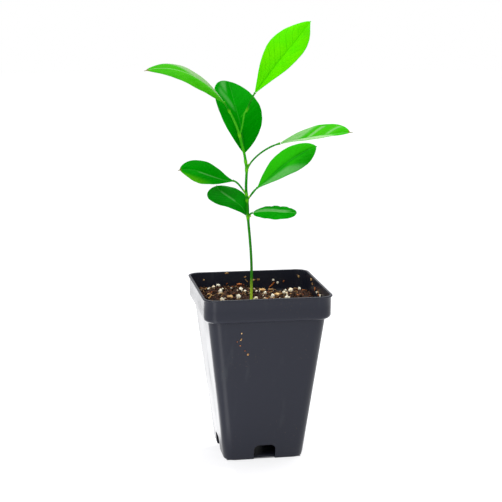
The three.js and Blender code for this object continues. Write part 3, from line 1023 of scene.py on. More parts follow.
@dataclass
class PottingMix:
    """Peaty mix with crumbs, perlite, bark and rootlets on it."""

    pot: Pot
    drop: float = 11.5
    cells: int = 150
    clearance: float = 0.3
    clod: float = 3.0
    clod_height: float = 1.5
    crumb_count: int = 620
    perlite_count: int = 88
    bark_count: int = 47
    root_count: int = 60
    humps: tuple[Hump, ...] = (
        Hump(-0.6, 0.55, 2.4, 0.34),
        Hump(0.5, 1.02, -3.4, 0.2),
        Hump(1.05, 0.95, -5.0, 0.13),
        Hump(-0.16, 0.92, 1.6, 0.12),
        Hump(0.2, -0.2, 0.6, 0.3),
        Hump(-0.75, -0.5, 0.8, 0.25),
    )

    @property
    def level(self) -> float:
        """The height of the mix beside the stem."""
        return self.pot.height - self.drop

    def plain_height(self, x: float, y: float) -> float:
        """The height of the mix under its crumbs, in millimetres.

        Args:
            x: millimetres from the pot's axis.
            y: millimetres from the pot's axis.

        Returns:
            The height above the ground.
        """
        half = self.pot.inside_half
        total = self.level + 0.25 * math.sin(0.37 * x + 1) * math.sin(0.31 * y)
        for hump in self.humps:
            away = ((x / half - hump.x) ** 2 + (y / half - hump.y) ** 2) / (2 * hump.spread**2)
            total += hump.height * math.exp(-away)
        return total

    def height_at(self, x: float, y: float) -> float:
        """The height of the crumbly surface, in millimetres.

        Args:
            x: millimetres from the pot's axis.
            y: millimetres from the pot's axis.

        Returns:
            The height above the ground.
        """
        place = Vector((x, y, 0.0)) / self.clod
        coarse = noise.voronoi(place)[0]
        fine = noise.voronoi(place * 2.3 + Vector((5.2, 1.3, 0.7)))[0]
        lumps = (coarse[1] - coarse[0]) * self.clod_height + (fine[1] - fine[0]) * 0.45 * self.clod_height
        rough = noise.fractal(place * 3.0, 0.8, 2.2, 4) * 0.35
        return self.plain_height(x, y) + lumps + rough - 0.75 * self.clod_height

    def _inside(self, x: float, y: float, gap: float) -> tuple[float, float]:
        """The nearest point of the opening to a point.

        Args:
            x: millimetres from the pot's axis.
            y: millimetres from the pot's axis.
            gap: how far the point stays from the wall.

        Returns:
            The point inside.
        """
        half = self.pot.inside_half - gap
        radius = self.pot.top_corner - self.pot.wall
        x, y = clamp(x, -half, half), clamp(y, -half, half)
        flat = half - radius
        over = Vector((abs(x) - flat, abs(y) - flat))
        if min(over) > 0 and over.length > radius:
            over = over.normalized() * radius
            x = math.copysign(flat + over.x, x)
            y = math.copysign(flat + over.y, y)
        return x, y

    def _bed(self, finish: bpy.types.Material) -> None:
        """The body of the mix: a crumbly top with a skirt that goes down inside the walls."""
        half = self.pot.inside_half

        def place(across: float, along: float) -> Vector:
            """The point of the bed's top."""
            x, y = self._inside(lerp(-half, half, across), lerp(-half, half, along), self.clearance)
            return Vector((x, y, self.height_at(x, y))) * MM

        mesh = laid_grid(self.cells, self.cells, place, {})
        rim = [edge for edge in mesh.edges if edge.is_boundary]
        grown = bmesh.ops.extrude_edge_only(mesh, edges=rim)["geom"]
        skirt = [item for item in grown if isinstance(item, bmesh.types.BMVert)]
        low = self.pot.band_foot + self.pot.band_step + 0.6
        for vert in skirt:
            vert.co.z = min(vert.co.z, low * MM)
        grown = bmesh.ops.extrude_edge_only(mesh, edges=[e for e in mesh.edges if e.is_boundary])["geom"]
        foot = [item for item in grown if isinstance(item, bmesh.types.BMVert)]
        shrink = (self.pot.body_half - self.pot.wall - 2.0) / half
        for vert in foot:
            vert.co = Vector((vert.co.x * shrink, vert.co.y * shrink, (self.pot.band_foot - 2.0) * MM))
        close_up(mesh)
        deliver("peat_bed", mesh, [finish], Slot.MIX, ["potting_mix"])

    def _lump(
        self, mesh: bmesh.types.BMesh, place: Vector, size: float, squash: float, turn: float, fineness: int
    ) -> list[bmesh.types.BMVert]:
        """Adds one small lump.

        Args:
            mesh: the bmesh that it goes in.
            place: its centre in millimetres.
            size: its radius in millimetres.
            squash: its height as a share of its width.
            turn: how far it is turned, in radians.
            fineness: how many times the ball is divided.

        Returns:
            Its points.
        """
        stretch = Matrix.Diagonal((size * MM, 0.78 * size * MM, squash * size * MM, 1.0))
        matrix = Matrix.Translation(place * MM) @ Matrix.Rotation(turn, 4, (0.3, 0.5, 1.0)) @ stretch
        return bmesh.ops.create_icosphere(mesh, subdivisions=fineness, radius=1.0, matrix=matrix)["verts"]

    def _strewn(self, draw: random.Random, count: int, gap: float) -> list[Vector]:
        """Random places on the mix.

        Args:
            draw: the source of random numbers.
            count: how many.
            gap: how far they stay from the wall.

        Returns:
            Points in millimetres on the crumbly surface.
        """
        half = self.pot.inside_half
        places = []
        for _ in range(count):
            x, y = self._inside(draw.uniform(-half, half), draw.uniform(-half, half), gap)
            places.append(Vector((x, y, self.height_at(x, y))))
        return places

    def _crumbs(self, finish: bpy.types.Material) -> None:
        """Peat crumbs lying on the bed."""
        draw = random.Random(11)
        mesh = bmesh.new()
        for place in self._strewn(draw, self.crumb_count, 1.6):
            size = draw.uniform(0.45, 1.5) ** 1.2
            place.z += 0.35 * size
            self._lump(mesh, place, size, draw.uniform(0.6, 1.0), draw.uniform(0.0, 6.0), 1)
        mesh.normal_update()
        roughen(mesh.verts[:], 1.1, 0.55, 1.0)
        deliver("peat_crumbs", mesh, [finish], Slot.MIX)

    def _small_perlite(self, finish: bpy.types.Material) -> None:
        """Small grains between the large ones."""
        draw = random.Random(23)
        mesh = bmesh.new()
        for place in self._strewn(draw, self.perlite_count, 1.4):
            size = draw.uniform(0.3, 0.95)
            place.z += 0.5 * size
            fineness = 2 if size > 0.7 else 1
            self._lump(mesh, place, size, draw.uniform(0.7, 1.0), draw.uniform(0.0, 6.0), fineness)
        mesh.normal_update()
        roughen(mesh.verts[:], 0.8, 0.3, 2.0)
        deliver("small_perlite", mesh, [finish], Slot.PERLITE)

    def _bark_bits(self, orange: bpy.types.Material, tan: bpy.types.Material) -> None:
        """Splinters of bark and coir."""
        for name, slot, finish, seed in (
            ("orange_splinters", Slot.ORANGE_BARK, orange, 31),
            ("tan_splinters", Slot.TAN_BARK, tan, 37),
        ):
            draw = random.Random(seed)
            mesh = bmesh.new()
            for place in self._strewn(draw, self.bark_count, 2.0):
                length = draw.uniform(0.8, 2.6)
                width = draw.uniform(0.25, 0.6)
                thick = draw.uniform(0.15, 0.4)
                scale = Matrix.Diagonal((length * MM, width * MM, thick * MM, 1.0))
                turn = Matrix.Rotation(draw.uniform(0.0, math.tau), 4, "Z")
                tilt = Matrix.Rotation(draw.uniform(-0.6, 0.6), 4, "Y")
                place.z += 0.35
                matrix = Matrix.Translation(place * MM) @ turn @ tilt @ scale
                bmesh.ops.create_icosphere(mesh, subdivisions=1, radius=1.0, matrix=matrix)
            mesh.normal_update()
            roughen(mesh.verts[:], 0.7, 0.25, seed)
            deliver(name, mesh, [finish], slot)

    def _rootlets(self, finish: bpy.types.Material) -> None:
        """Hair-thin root and coir strands that arch over the mix."""
        draw = random.Random(41)
        whole = bmesh.new()
        for place in self._strewn(draw, self.root_count, 7.0):
            heading = draw.uniform(0.0, math.tau)
            length = draw.uniform(2.5, 6.5)
            lift = draw.uniform(0.4, 1.8)
            points = []
            for step in range(4):
                share = step / 3
                heading += draw.uniform(-0.5, 0.5)
                run = length * (share - 0.5)
                east = place.x + run * math.cos(heading)
                north = place.y + run * math.sin(heading)
                x, y = self._inside(east, north, 1.0)
                high = self.height_at(x, y) + 0.2 + lift * math.sin(math.pi * share)
                points.append(Vector((x, y, high)) * MM)
            thick = draw.uniform(0.09, 0.17)
            strand = rod(
                Thread(points),
                lambda angle, along, thick=thick: (thick, thick),
                sides=5,
                steps=9,
                marks={},
                upward=Vector((0.0, 0.0, 1.0)),
            )
            add_part(whole, strand)
        deliver("rootlets", whole, [finish], Slot.TAN_BARK)

    def _large_bits(self, finishes: Mapping[Slot, bpy.types.Material]) -> None:
        """The grains, chips and fibres of the frame, each made finer where it lies."""
        for seed, node in enumerate(sorted(n for n in bpy.data.objects.keys() if n.startswith("perlite_"))):
            mesh = merged_copy(node)
            bmesh.ops.subdivide_edges(mesh, edges=mesh.edges, cuts=2, use_grid_fill=True, smooth=1.0)
            mesh.normal_update()
            roughen(mesh.verts[:], 1.3, 0.5, seed)
            mesh.normal_update()
            roughen(mesh.verts[:], 0.45, 0.18, seed + 0.5)
            deliver(f"grain_{node[-2:]}", mesh, [finishes[Slot.PERLITE]], Slot.PERLITE, [node])
        for index in range(1, 6):
            node = f"bark_chip_{index}"
            slot = Slot.ORANGE_BARK if index in (1, 5) else Slot.TAN_BARK
            mesh = merged_copy(node)
            bmesh.ops.dissolve_limit(mesh, angle_limit=0.05, verts=mesh.verts, edges=mesh.edges)
            round_edges(mesh, mesh.edges[:], 0.22, 2)
            bmesh.ops.triangulate(mesh, faces=mesh.faces)
            bmesh.ops.subdivide_edges(mesh, edges=mesh.edges, cuts=3, use_grid_fill=True)
            mesh.normal_update()
            roughen(mesh.verts[:], 1.2, 0.45, index)
            mesh.normal_update()
            roughen(mesh.verts[:], 0.35, 0.14, index + 0.5)
            deliver(f"bark_flake_{index}", mesh, [finishes[slot]], slot, [node])
        for index in (1, 2):
            node = f"fibre_{index}"
            mesh = merged_copy(node)
            bmesh.ops.subdivide_edges(mesh, edges=mesh.edges, cuts=2, use_grid_fill=True, smooth=1.0)
            mesh.normal_update()
            roughen(mesh.verts[:], 0.9, 0.28, index)
            deliver(f"coir_strand_{index}", mesh, [finishes[Slot.TAN_BARK]], Slot.TAN_BARK, [node])

    def build(self, finishes: Mapping[Slot, bpy.types.Material]) -> None:
        """Makes the mix and everything that lies in it."""
        self._bed(finishes[Slot.MIX])
        self._crumbs(finishes[Slot.MIX])
        self._small_perlite(finishes[Slot.PERLITE])
        self._bark_bits(finishes[Slot.ORANGE_BARK], finishes[Slot.TAN_BARK])
        self._rootlets(finishes[Slot.TAN_BARK])
        self._large_bits(finishes)


@dataclass(frozen=True)
class Crumb:
    """A bit stuck on the pot: its place, its half-length and half-width in millimetres and how it leans."""

    place: Triple
    long: float
    wide: float
    slot: Slot
    lean: float = 0.0


@dataclass
class StuckBits:
    """Bits of the mix that cling to the pot's inner walls, its lip and its front."""

    pot: Pot
    bits: tuple[Crumb, ...] = (
        Crumb((19.0, 41.3, 109.9), 1.0, 0.95, Slot.PERLITE),
        Crumb((22.2, 41.3, 107.8), 0.95, 0.9, Slot.PERLITE),
        Crumb((4.4, 41.8, 110.3), 1.3, 0.5, Slot.TAN_BARK, 0.2),
        Crumb((7.9, 41.8, 110.6), 1.2, 0.7, Slot.TAN_BARK, -0.3),
        Crumb((2.2, 41.8, 109.4), 0.7, 0.45, Slot.ORANGE_BARK, 1.2),
        Crumb((-1.6, 41.8, 112.8), 0.9, 0.4, Slot.TAN_BARK, 0.3),
        Crumb((-0.8, 41.7, 110.0), 1.6, 0.28, Slot.TAN_BARK, -0.9),
        Crumb((2.3, 41.7, 106.8), 1.2, 0.3, Slot.TAN_BARK, -0.8),
        Crumb((17.8, 41.4, 106.2), 3.1, 0.55, Slot.ORANGE_BARK, 0.75),
        Crumb((26.6, 41.8, 108.6), 0.9, 0.55, Slot.ORANGE_BARK, 1.2),
        Crumb((37.6, 41.2, 112.0), 1.3, 0.6, Slot.TAN_BARK, -1.1),
        Crumb((-15.0, 41.8, 108.2), 0.7, 0.5, Slot.ORANGE_BARK, 0.4),
        Crumb((-32.0, 41.7, 111.6), 0.6, 0.4, Slot.TAN_BARK, 0.4),
        Crumb((41.6, 18.0, 114.6), 1.2, 0.7, Slot.TAN_BARK, 1.0),
        Crumb((41.6, 14.2, 112.3), 1.1, 0.6, Slot.TAN_BARK, 0.7),
        Crumb((41.5, 5.8, 111.0), 1.5, 0.7, Slot.ORANGE_BARK, 1.3),
        Crumb((41.3, -0.8, 109.9), 1.0, 0.95, Slot.PERLITE),
        Crumb((41.4, -4.4, 111.2), 1.2, 0.5, Slot.TAN_BARK, 1.0),
        Crumb((41.4, -6.5, 109.6), 1.2, 0.8, Slot.ORANGE_BARK, 0.2),
        Crumb((41.2, -11.6, 110.0), 1.1, 1.0, Slot.PERLITE),
        Crumb((-15.0, 42.0, 115.9), 1.5, 0.55, Slot.TAN_BARK),
        Crumb((-18.1, -38.9, 93.1), 0.5, 0.4, Slot.TAN_BARK, 1.2),
        Crumb((-18.5, -38.3, 88.6), 0.8, 0.5, Slot.TAN_BARK, 0.9),
        Crumb((-19.0, -37.8, 84.4), 0.4, 0.35, Slot.ORANGE_BARK),
        Crumb((-21.2, -38.2, 87.3), 0.4, 0.35, Slot.ORANGE_BARK),
        Crumb((-15.5, -37.4, 80.6), 0.5, 0.4, Slot.ORANGE_BARK),
        Crumb((-13.5, -37.0, 77.9), 0.75, 0.6, Slot.TAN_BARK),
    )

    def build(self, finishes: Mapping[Slot, bpy.types.Material]) -> None:
        """Makes the bits, one piece for each finish."""
        for slot in (Slot.PERLITE, Slot.ORANGE_BARK, Slot.TAN_BARK):
            mesh = bmesh.new()
            for bit in (bit for bit in self.bits if bit.slot is slot):
                x, y, z = bit.place
                side = abs(x) > self.pot.inside_half - 1.5
                size = Vector((bit.long, 0.6 * bit.wide, bit.wide)) * MM
                matrix = Matrix.Translation(Vector((x, y, z)) * MM)
                if side:
                    matrix = matrix @ Matrix.Rotation(0.5 * math.pi, 4, "Z")
                matrix = matrix @ Matrix.Rotation(-bit.lean, 4, "Y") @ Matrix.Diagonal((*size, 1.0))
                bmesh.ops.create_icosphere(mesh, subdivisions=3, radius=1.0, matrix=matrix)
            mesh.normal_update()
            roughen(mesh.verts[:], 0.8, 0.35, 7.0)
            deliver(f"stuck_{slot.value}", mesh, [finishes[slot]], slot)


# ---------------------------------------------------------------- the shoot


class Joint(Enum):
    """The nodes of the stem, by their place in its list of points."""

    LOW = 8
    RIGHT = 10
    LEFT = 11
    ARCH = 14
    BACK = 15
    FORK = 18
    LEFT_TIP = 21


STEM_POINTS: tuple[Triple, ...] = (
    (-4.8, 0.0, -30.0),
    (-4.8, 0.0, -15.0),
    (-4.8, 0.0, 0.5),
    (-4.7, 0.0, 13.2),
    (-4.8, 0.0, 23.8),
    (-5.3, 0.0, 34.3),
    (-6.1, 0.0, 44.1),
    (-6.9, 0.0, 52.5),
    (-7.4, 0.0, 58.4),
    (-7.6, 0.0, 65.1),
    (-8.0, 0.0, 70.3),
    (-8.6, 0.0, 74.5),
    (-8.8, 0.0, 80.3),
    (-8.6, 0.0, 86.3),
    (-8.5, 0.0, 91.0),
    (-9.2, 0.0, 96.7),
    (-10.1, 0.0, 101.9),
    (-12.0, 0.0, 108.8),
    (-13.5, 0.0, 114.6),
    (-15.7, -1.2, 120.6),
    (-18.7, -2.8, 126.9),
    (-21.3, -4.0, 131.4),
)
TWIG_POINTS: tuple[Triple, ...] = (
    (-12.1, 0.2, 118.8),
    (-10.9, 0.8, 124.4),
    (-9.9, 1.4, 129.0),
    (-8.3, 1.6, 131.2),
)


@dataclass
class Stem:
    """The thin main stem with its fork. Heights of its points are above the mix."""

    mix_level: float
    foot_radius: float = 0.95
    top_radius: float = 0.88
    twig_radius: float = 0.55
    swelling: float = 0.3
    main: Thread = field(init=False)
    twig: Thread = field(init=False)

    def __post_init__(self) -> None:
        """Lays the two lines out over the mix."""
        lifted = [Vector((x, y, z + self.mix_level)) * MM for x, y, z in STEM_POINTS]
        self.main = Thread(lifted)
        branch = [Vector((x, y, z + self.mix_level)) * MM for x, y, z in TWIG_POINTS]
        self.twig = Thread([lifted[Joint.FORK.value], *branch])

    def share_of(self, joint: Joint) -> float:
        """How far along the main line a joint is."""
        return joint.value / Joint.LEFT_TIP.value

    def joint_mask(self, along: float) -> float:
        """How near a place on the main line is to a joint, from 0 to 1."""
        return max(bell((along - self.share_of(j)) * Joint.LEFT_TIP.value, 0.26) for j in Joint)

    def radius(self, angle: float, along: float) -> float:
        """The main stem's radius in millimetres: tapered, swollen at its joints and faintly ribbed.

        Args:
            angle: round the stem, in radians.
            along: from 0 at its foot to 1 at its tip.

        Returns:
            The radius.
        """
        beyond = clamp((along - self.share_of(Joint.FORK)) / (1 - self.share_of(Joint.FORK)))
        plain = lerp(lerp(self.foot_radius, self.top_radius, along), self.twig_radius, beyond)
        ribs = 1.0 + lerp(0.02, 0.07, along) * math.cos(3 * angle + 9 * along)
        return plain * ribs + self.swelling * self.joint_mask(along)

    def _twig_radius(self, angle: float, along: float) -> float:
        """The right twig's radius in millimetres."""
        ribs = 1.0 + 0.07 * math.cos(3 * angle)
        return self.twig_radius * ribs + self.swelling * bell(1 - along, 0.12)

    def build(self, finish: ShootFinish) -> None:
        """Makes the stem as one piece with its twig."""

        def main_size(angle: float, along: float) -> tuple[float, float]:
            """The main stem's section."""
            radius = self.radius(angle, along)
            return radius, radius

        def twig_size(angle: float, along: float) -> tuple[float, float]:
            """The twig's section."""
            radius = self._twig_radius(angle, along)
            return radius, radius

        marks = {"along": lambda _, along: along, "joint": lambda _, along: self.joint_mask(along)}
        mesh = rod(self.main, main_size, 20, 330, marks)
        twig_marks = {
            "along": lambda _, along: lerp(0.86, 1.0, along),
            "joint": lambda _, along: 0.6 * bell(1 - along, 0.1),
        }
        add_part(mesh, rod(self.twig, twig_size, 16, 60, twig_marks))
        deliver("green_stem", mesh, [finish.material()], Slot.STEM, ["stem"])


@dataclass(frozen=True)
class LeafForm:
    """One leaf: where its stalk leaves the stem, how it reaches out and how its blade curves.

    reach and rise are in millimetres from the joint. run holds the blade's further control points in blade
    lengths from its base. Angles are in degrees.
    """

    name: str
    joint: Joint | None
    slot: Slot
    skin: LeafSkin
    reach: Triple
    rise: Triple
    length: float
    half_width: float
    run: tuple[Triple, Triple, Triple]
    base_taper: float
    tip_taper: float
    roll: float
    twist: float
    fold: float
    camber: float
    lean: float = 0.3
    point: float = 0.8
    ripple: float = 0.12
    notch: float = 0.0
    wing: float = 0.0


@dataclass
class Leaf:
    """A leaf with its stalk, laid out from its form."""

    form: LeafForm
    stem: Stem
    number: int
    clearance: float = 0.3
    stalk_radius: float = 0.6
    stalk_end: float = 0.7
    blade_thickness: float = 0.34
    columns: int = 32
    rows: int = 76
    stalk: Bend = field(init=False)
    blade: Bend = field(init=False)

    def __post_init__(self) -> None:
        """Lays out the stalk's and the blade's centre lines."""
        form = self.form
        if form.joint is None:
            start = self.stem.twig.at(1.0)
        else:
            start = self.stem.main.at(self.stem.share_of(form.joint))
        end = start + Vector(form.reach) * MM
        toward = Vector(form.run[0]).normalized()
        ease = toward * (0.3 * (end - start).length)
        self.stalk = Bend((start, start + Vector(form.rise) * MM, end - ease, end))
        base = end + toward * self.clearance * MM
        further = [base + Vector(step) * form.length * MM for step in form.run]
        self.blade = Bend((base, *further))

    def half_width(self, s: float) -> float:
        """Half the blade's width in millimetres at a share of its length."""
        form = self.form
        a, b = form.base_taper, form.tip_taper
        fullest = (a / (a + b)) ** a * (b / (a + b)) ** b
        swell = max(s, 0.0) ** a * max(1 - s, 0.0) ** b / fullest
        return form.half_width * swell + self.stalk_end * (1 - 0.6 * s)

    def _frame(self, s: float) -> tuple[Vector, Vector, Vector]:
        """The blade's heading, side and face directions at a share of its length."""
        form = self.form
        heading = self.blade.heading(s)
        level = heading.cross(Vector((0.0, 0.0, 1.0))).normalized()
        lift = level.cross(heading)
        roll = math.radians(form.roll + form.twist * (s - 0.5))
        side = level * math.cos(roll) + lift * math.sin(roll)
        face = lift * math.cos(roll) - level * math.sin(roll)
        return heading, side, face

    def _relief(self, s: float, v: float, width: float) -> float:
        """How far the skin stands over the plain blade, in millimetres.

        Args:
            s: share of the blade's length.
            v: from -1 at one margin to 1 at the other.
            width: half the blade's width there in millimetres.

        Returns:
            The height.
        """
        form = self.form
        skin = form.skin
        open_blade = math.sin(math.pi * clamp(s * 1.05)) ** 0.5 if 0 < s < 0.95 else 0.0
        rib = -0.28 * bell(v * width, 0.55) * (1 - 0.5 * s)
        phase = (s - form.lean * abs(v)) * skin.veins + (0.45 if v > 0 else 0.0)
        between = 0.5 - 0.5 * math.cos(math.tau * phase)
        quilt = 0.16 * between * math.sin(math.pi * clamp(abs(v))) * open_blade
        wave = math.sin(s * 23 + self.number * 2.1 + (1.7 if v > 0 else 0.0))
        margin = form.ripple * abs(v) ** 3 * wave * open_blade
        broad = 0.5 * noise.noise(Vector((s * 3.2, v * 1.3, self.number * 4.7))) * open_blade
        return rib + quilt + margin + broad

    def _place(self, across: float, along: float) -> Vector:
        """The point of the blade's upper skin.

        Args:
            across: from 0 at one margin to 1 at the other.
            along: from 0 at the base to 1 at the tip.

        Returns:
            The point in metres.
        """
        form = self.form
        v = 2 * across - 1
        t = 0.5 - 0.5 * math.cos(math.pi * along)
        s = clamp(t / 0.985)
        beyond = clamp((t - 0.985) / 0.015)
        heading, side, face = self._frame(s)
        width = self.half_width(s) * (1 - 0.7 * beyond)
        if form.notch:
            bite = max(0.0, math.sin(s * 31 + self.number)) ** 3
            width *= 1 - form.notch * bite * (1.0 if v < 0 else 0.0)
        width *= 1 + 0.004 * math.sin(s * 61 + self.number * 3.3 + (2.0 if v > 0 else 0.0))
        fold = math.radians(form.fold)
        rise = width * (abs(v) * math.sin(fold) - form.camber * v * v) + self._relief(s, v, width)
        spot = self.blade.at(s) + heading * (beyond * form.point * MM)
        return spot + side * (width * v * math.cos(fold) * MM) + face * (rise * MM)

    def _marks(self) -> dict[str, Callable[[float, float], float]]:
        """The numbers that the blade keeps for its skin."""

        def along_of(_: float, along: float) -> float:
            """Share of the blade's length."""
            return clamp((0.5 - 0.5 * math.cos(math.pi * along)) / 0.985)

        def off_rib(across: float, along: float) -> float:
            """Distance from the midrib in millimetres."""
            return abs(2 * across - 1) * self.half_width(along_of(across, along))

        return {"along": along_of, "across": lambda across, _: 2 * across - 1, "off_rib": off_rib}

    def _build_blade(self) -> None:
        """Makes the blade: a laid-out sheet with a thickness and rounded margins."""
        form = self.form
        mesh = laid_grid(self.columns, self.rows, self._place, self._marks())
        name = f"blade_{form.name}"
        skins = [form.skin.upper(name, form.lean), form.skin.lower(name, form.lean)]
        piece = deliver(name, mesh, skins, form.slot, [f"leaf_{form.name}"])
        shell = piece.modifiers.new("thickness", "SOLIDIFY")
        shell.thickness = self.blade_thickness * MM
        shell.offset = -1.0
        shell.material_offset = 1
        shell.material_offset_rim = 0
        smooth = piece.modifiers.new("smooth", "SUBSURF")
        smooth.levels = 1
        smooth.render_levels = 1

    def _build_stalk(self, finish: bpy.types.Material) -> None:
        """Makes the stalk, which widens to its joint with the blade."""
        form = self.form
        _, _, face = self._frame(0.0)

        def size_at(angle: float, along: float) -> tuple[float, float]:
            """The stalk's section: round, with a narrow wing on each side towards the blade."""
            radius = lerp(self.stalk_radius, self.stalk_end, along * along)
            collar = 0.16 * bell(1 - along, 0.07) - 0.12 * bell(along - 0.88, 0.05)
            foot = 0.3 * bell(along, 0.1)
            wing = form.wing * math.sin(math.pi * clamp((along - 0.25) / 0.68)) ** 2
            groove = 0.16 * bell(angle - 0.5 * math.pi, 0.45) * radius
            plain = radius + collar + foot
            return plain + wing * abs(math.cos(angle)) ** 3, plain - groove

        marks = {
            "along": lambda _, along: along,
            "joint": lambda _, along: 0.75 * bell(along, 0.1) + 0.5 * bell(1 - along, 0.06),
        }
        steps = max(24, round((self.stalk.points[3] - self.stalk.points[0]).length / MM * 3))
        mesh = rod(self.stalk, size_at, 16, steps, marks, face)
        deliver(f"stalk_{form.name}", mesh, [finish], Slot.STALK, [f"petiole_{form.name}"])

    def build(self, stalk_finish: bpy.types.Material) -> None:
        """Makes the leaf."""
        self._build_stalk(stalk_finish)
        self._build_blade()


@dataclass(frozen=True)
class LeafSkins:
    """The skins of the eight blades, from the old dark ones at the foot to the lime one at the top."""

    def low_left(self) -> LeafSkin:
        """Deep green with painted sheen in a pale streak along the midrib near the tip and at one margin
        there.
        """
        return LeafSkin(
            rgb(0.0, 0.178, 0.0),
            rgb(0.0, 0.235, 0.001),
            rib_share=0.15,
            streaks=(
                SheenAndShadeBand(0.38, 0.82, 0.0, 0.08, 0.42, 0.03),
                SheenAndShadeBand(0.6, 1.0, 0.65, 1.0, 0.25, 0.08),
            ),
        )

    def low_right(self) -> LeafSkin:
        """Deep green with a pale streak of painted sheen along the midrib."""
        return LeafSkin(
            rgb(0.0, 0.245, 0.0),
            rgb(0.003, 0.32, 0.002),
            rib_share=0.7,
            streaks=(SheenAndShadeBand(-0.1, 0.8, -0.3, 0.06, 0.75, 0.06),),
        )

    def middle_right(self) -> LeafSkin:
        """Fresh green, painted brighter on its upper half as the light falls, with painted shade along the
        midrib and soft painted sheen on its lower half.
        """
        return LeafSkin(
            rgb(0.003, 0.27, 0.0),
            rgb(0.018, 0.38, 0.002),
            vein=rgb(0.03, 0.4, 0.005),
            sheen=rgb(0.15, 0.43, 0.13),
            painted_lit_half=-0.9,
            rib_share=0.1,
            streaks=(
                # Painted sheen on the lower half near the base.
                SheenAndShadeBand(-0.2, 0.38, 0.3, 1.0, 0.55, 0.09),
                # Painted shade in a dark band along the midrib's crease.
                SheenAndShadeBand(0.0, 0.9, -0.06, 0.14, 0.7, 0.04, rgb(0.0, 0.22, 0.0)),
            ),
        )

    def middle_left(self) -> LeafSkin:
        """Deep green with a lime lower margin, a brown tip and a thin streak of painted sheen beside the
        midrib.
        """
        return LeafSkin(
            rgb(0.0, 0.22, 0.0),
            rgb(0.0, 0.27, 0.0),
            brown_tip=1.0,
            lime_edge=0.35,
            rib_share=0.1,
            streaks=(SheenAndShadeBand(0.05, 0.62, -0.14, -0.02, 0.35, 0.03),),
        )

    def arched_right(self) -> LeafSkin:
        """Young green with painted sheen along two side veins, on a band near its base and over its other
        half.
        """
        return LeafSkin(
            rgb(0.028, 0.42, 0.0),
            rgb(0.06, 0.49, 0.008),
            vein=rgb(0.17, 0.54, 0.09),
            rib=rgb(0.32, 0.6, 0.26),
            sheen=rgb(0.33, 0.57, 0.26),
            brown_tip=1.0,
            veins=7.0,
            streaks=(
                SheenAndShadeBand(0.34, 0.4, -0.8, -0.05, 0.5, 0.02),
                SheenAndShadeBand(0.6, 0.66, -0.8, -0.05, 0.4, 0.02),
                SheenAndShadeBand(-0.4, 0.22, -1.0, 0.0, 0.6, 0.06),
                SheenAndShadeBand(-0.4, 0.5, 0.15, 1.0, 0.95),
            ),
        )

    def back(self) -> LeafSkin:
        """Deep green with painted shade on its left half and painted highlights along side veins there near
        the tip.
        """
        return LeafSkin(
            rgb(0.0, 0.205, 0.0),
            rgb(0.0, 0.265, 0.0),
            painted_lit_half=0.5,
            rib_share=0.1,
            streaks=(
                SheenAndShadeBand(0.5, 0.6, -0.75, -0.12, 0.3, 0.05),
                SheenAndShadeBand(0.66, 0.8, -0.9, -0.35, 0.35, 0.05),
                SheenAndShadeBand(0.42, 0.44, 0.1, 0.5, 0.5, 0.015, rgb(0.03, 0.36, 0.01)),
            ),
        )

    def top_left(self) -> LeafSkin:
        """Young green with a pale grey painted sheen on its far half towards the base."""
        return LeafSkin(
            rgb(0.03, 0.35, 0.001),
            rgb(0.06, 0.42, 0.008),
            vein=rgb(0.11, 0.46, 0.04),
            rib=rgb(0.25, 0.55, 0.17),
            sheen=rgb(0.25, 0.42, 0.19),
            brown_tip=1.0,
            rib_share=0.8,
            streaks=(SheenAndShadeBand(-0.6, 0.5, 0.0, 1.0, 0.95, 0.07),),
        )

    def top_right(self) -> LeafSkin:
        """Lime green with slightly deeper veins."""
        return LeafSkin(
            rgb(0.08, 0.65, 0.0),
            rgb(0.125, 0.7, 0.0),
            vein=rgb(0.03, 0.46, 0.0),
            rib=rgb(0.03, 0.45, 0.0),
            under=rgb(0.2, 0.6, 0.05),
            vein_share=0.85,
            rib_share=0.5,
        )


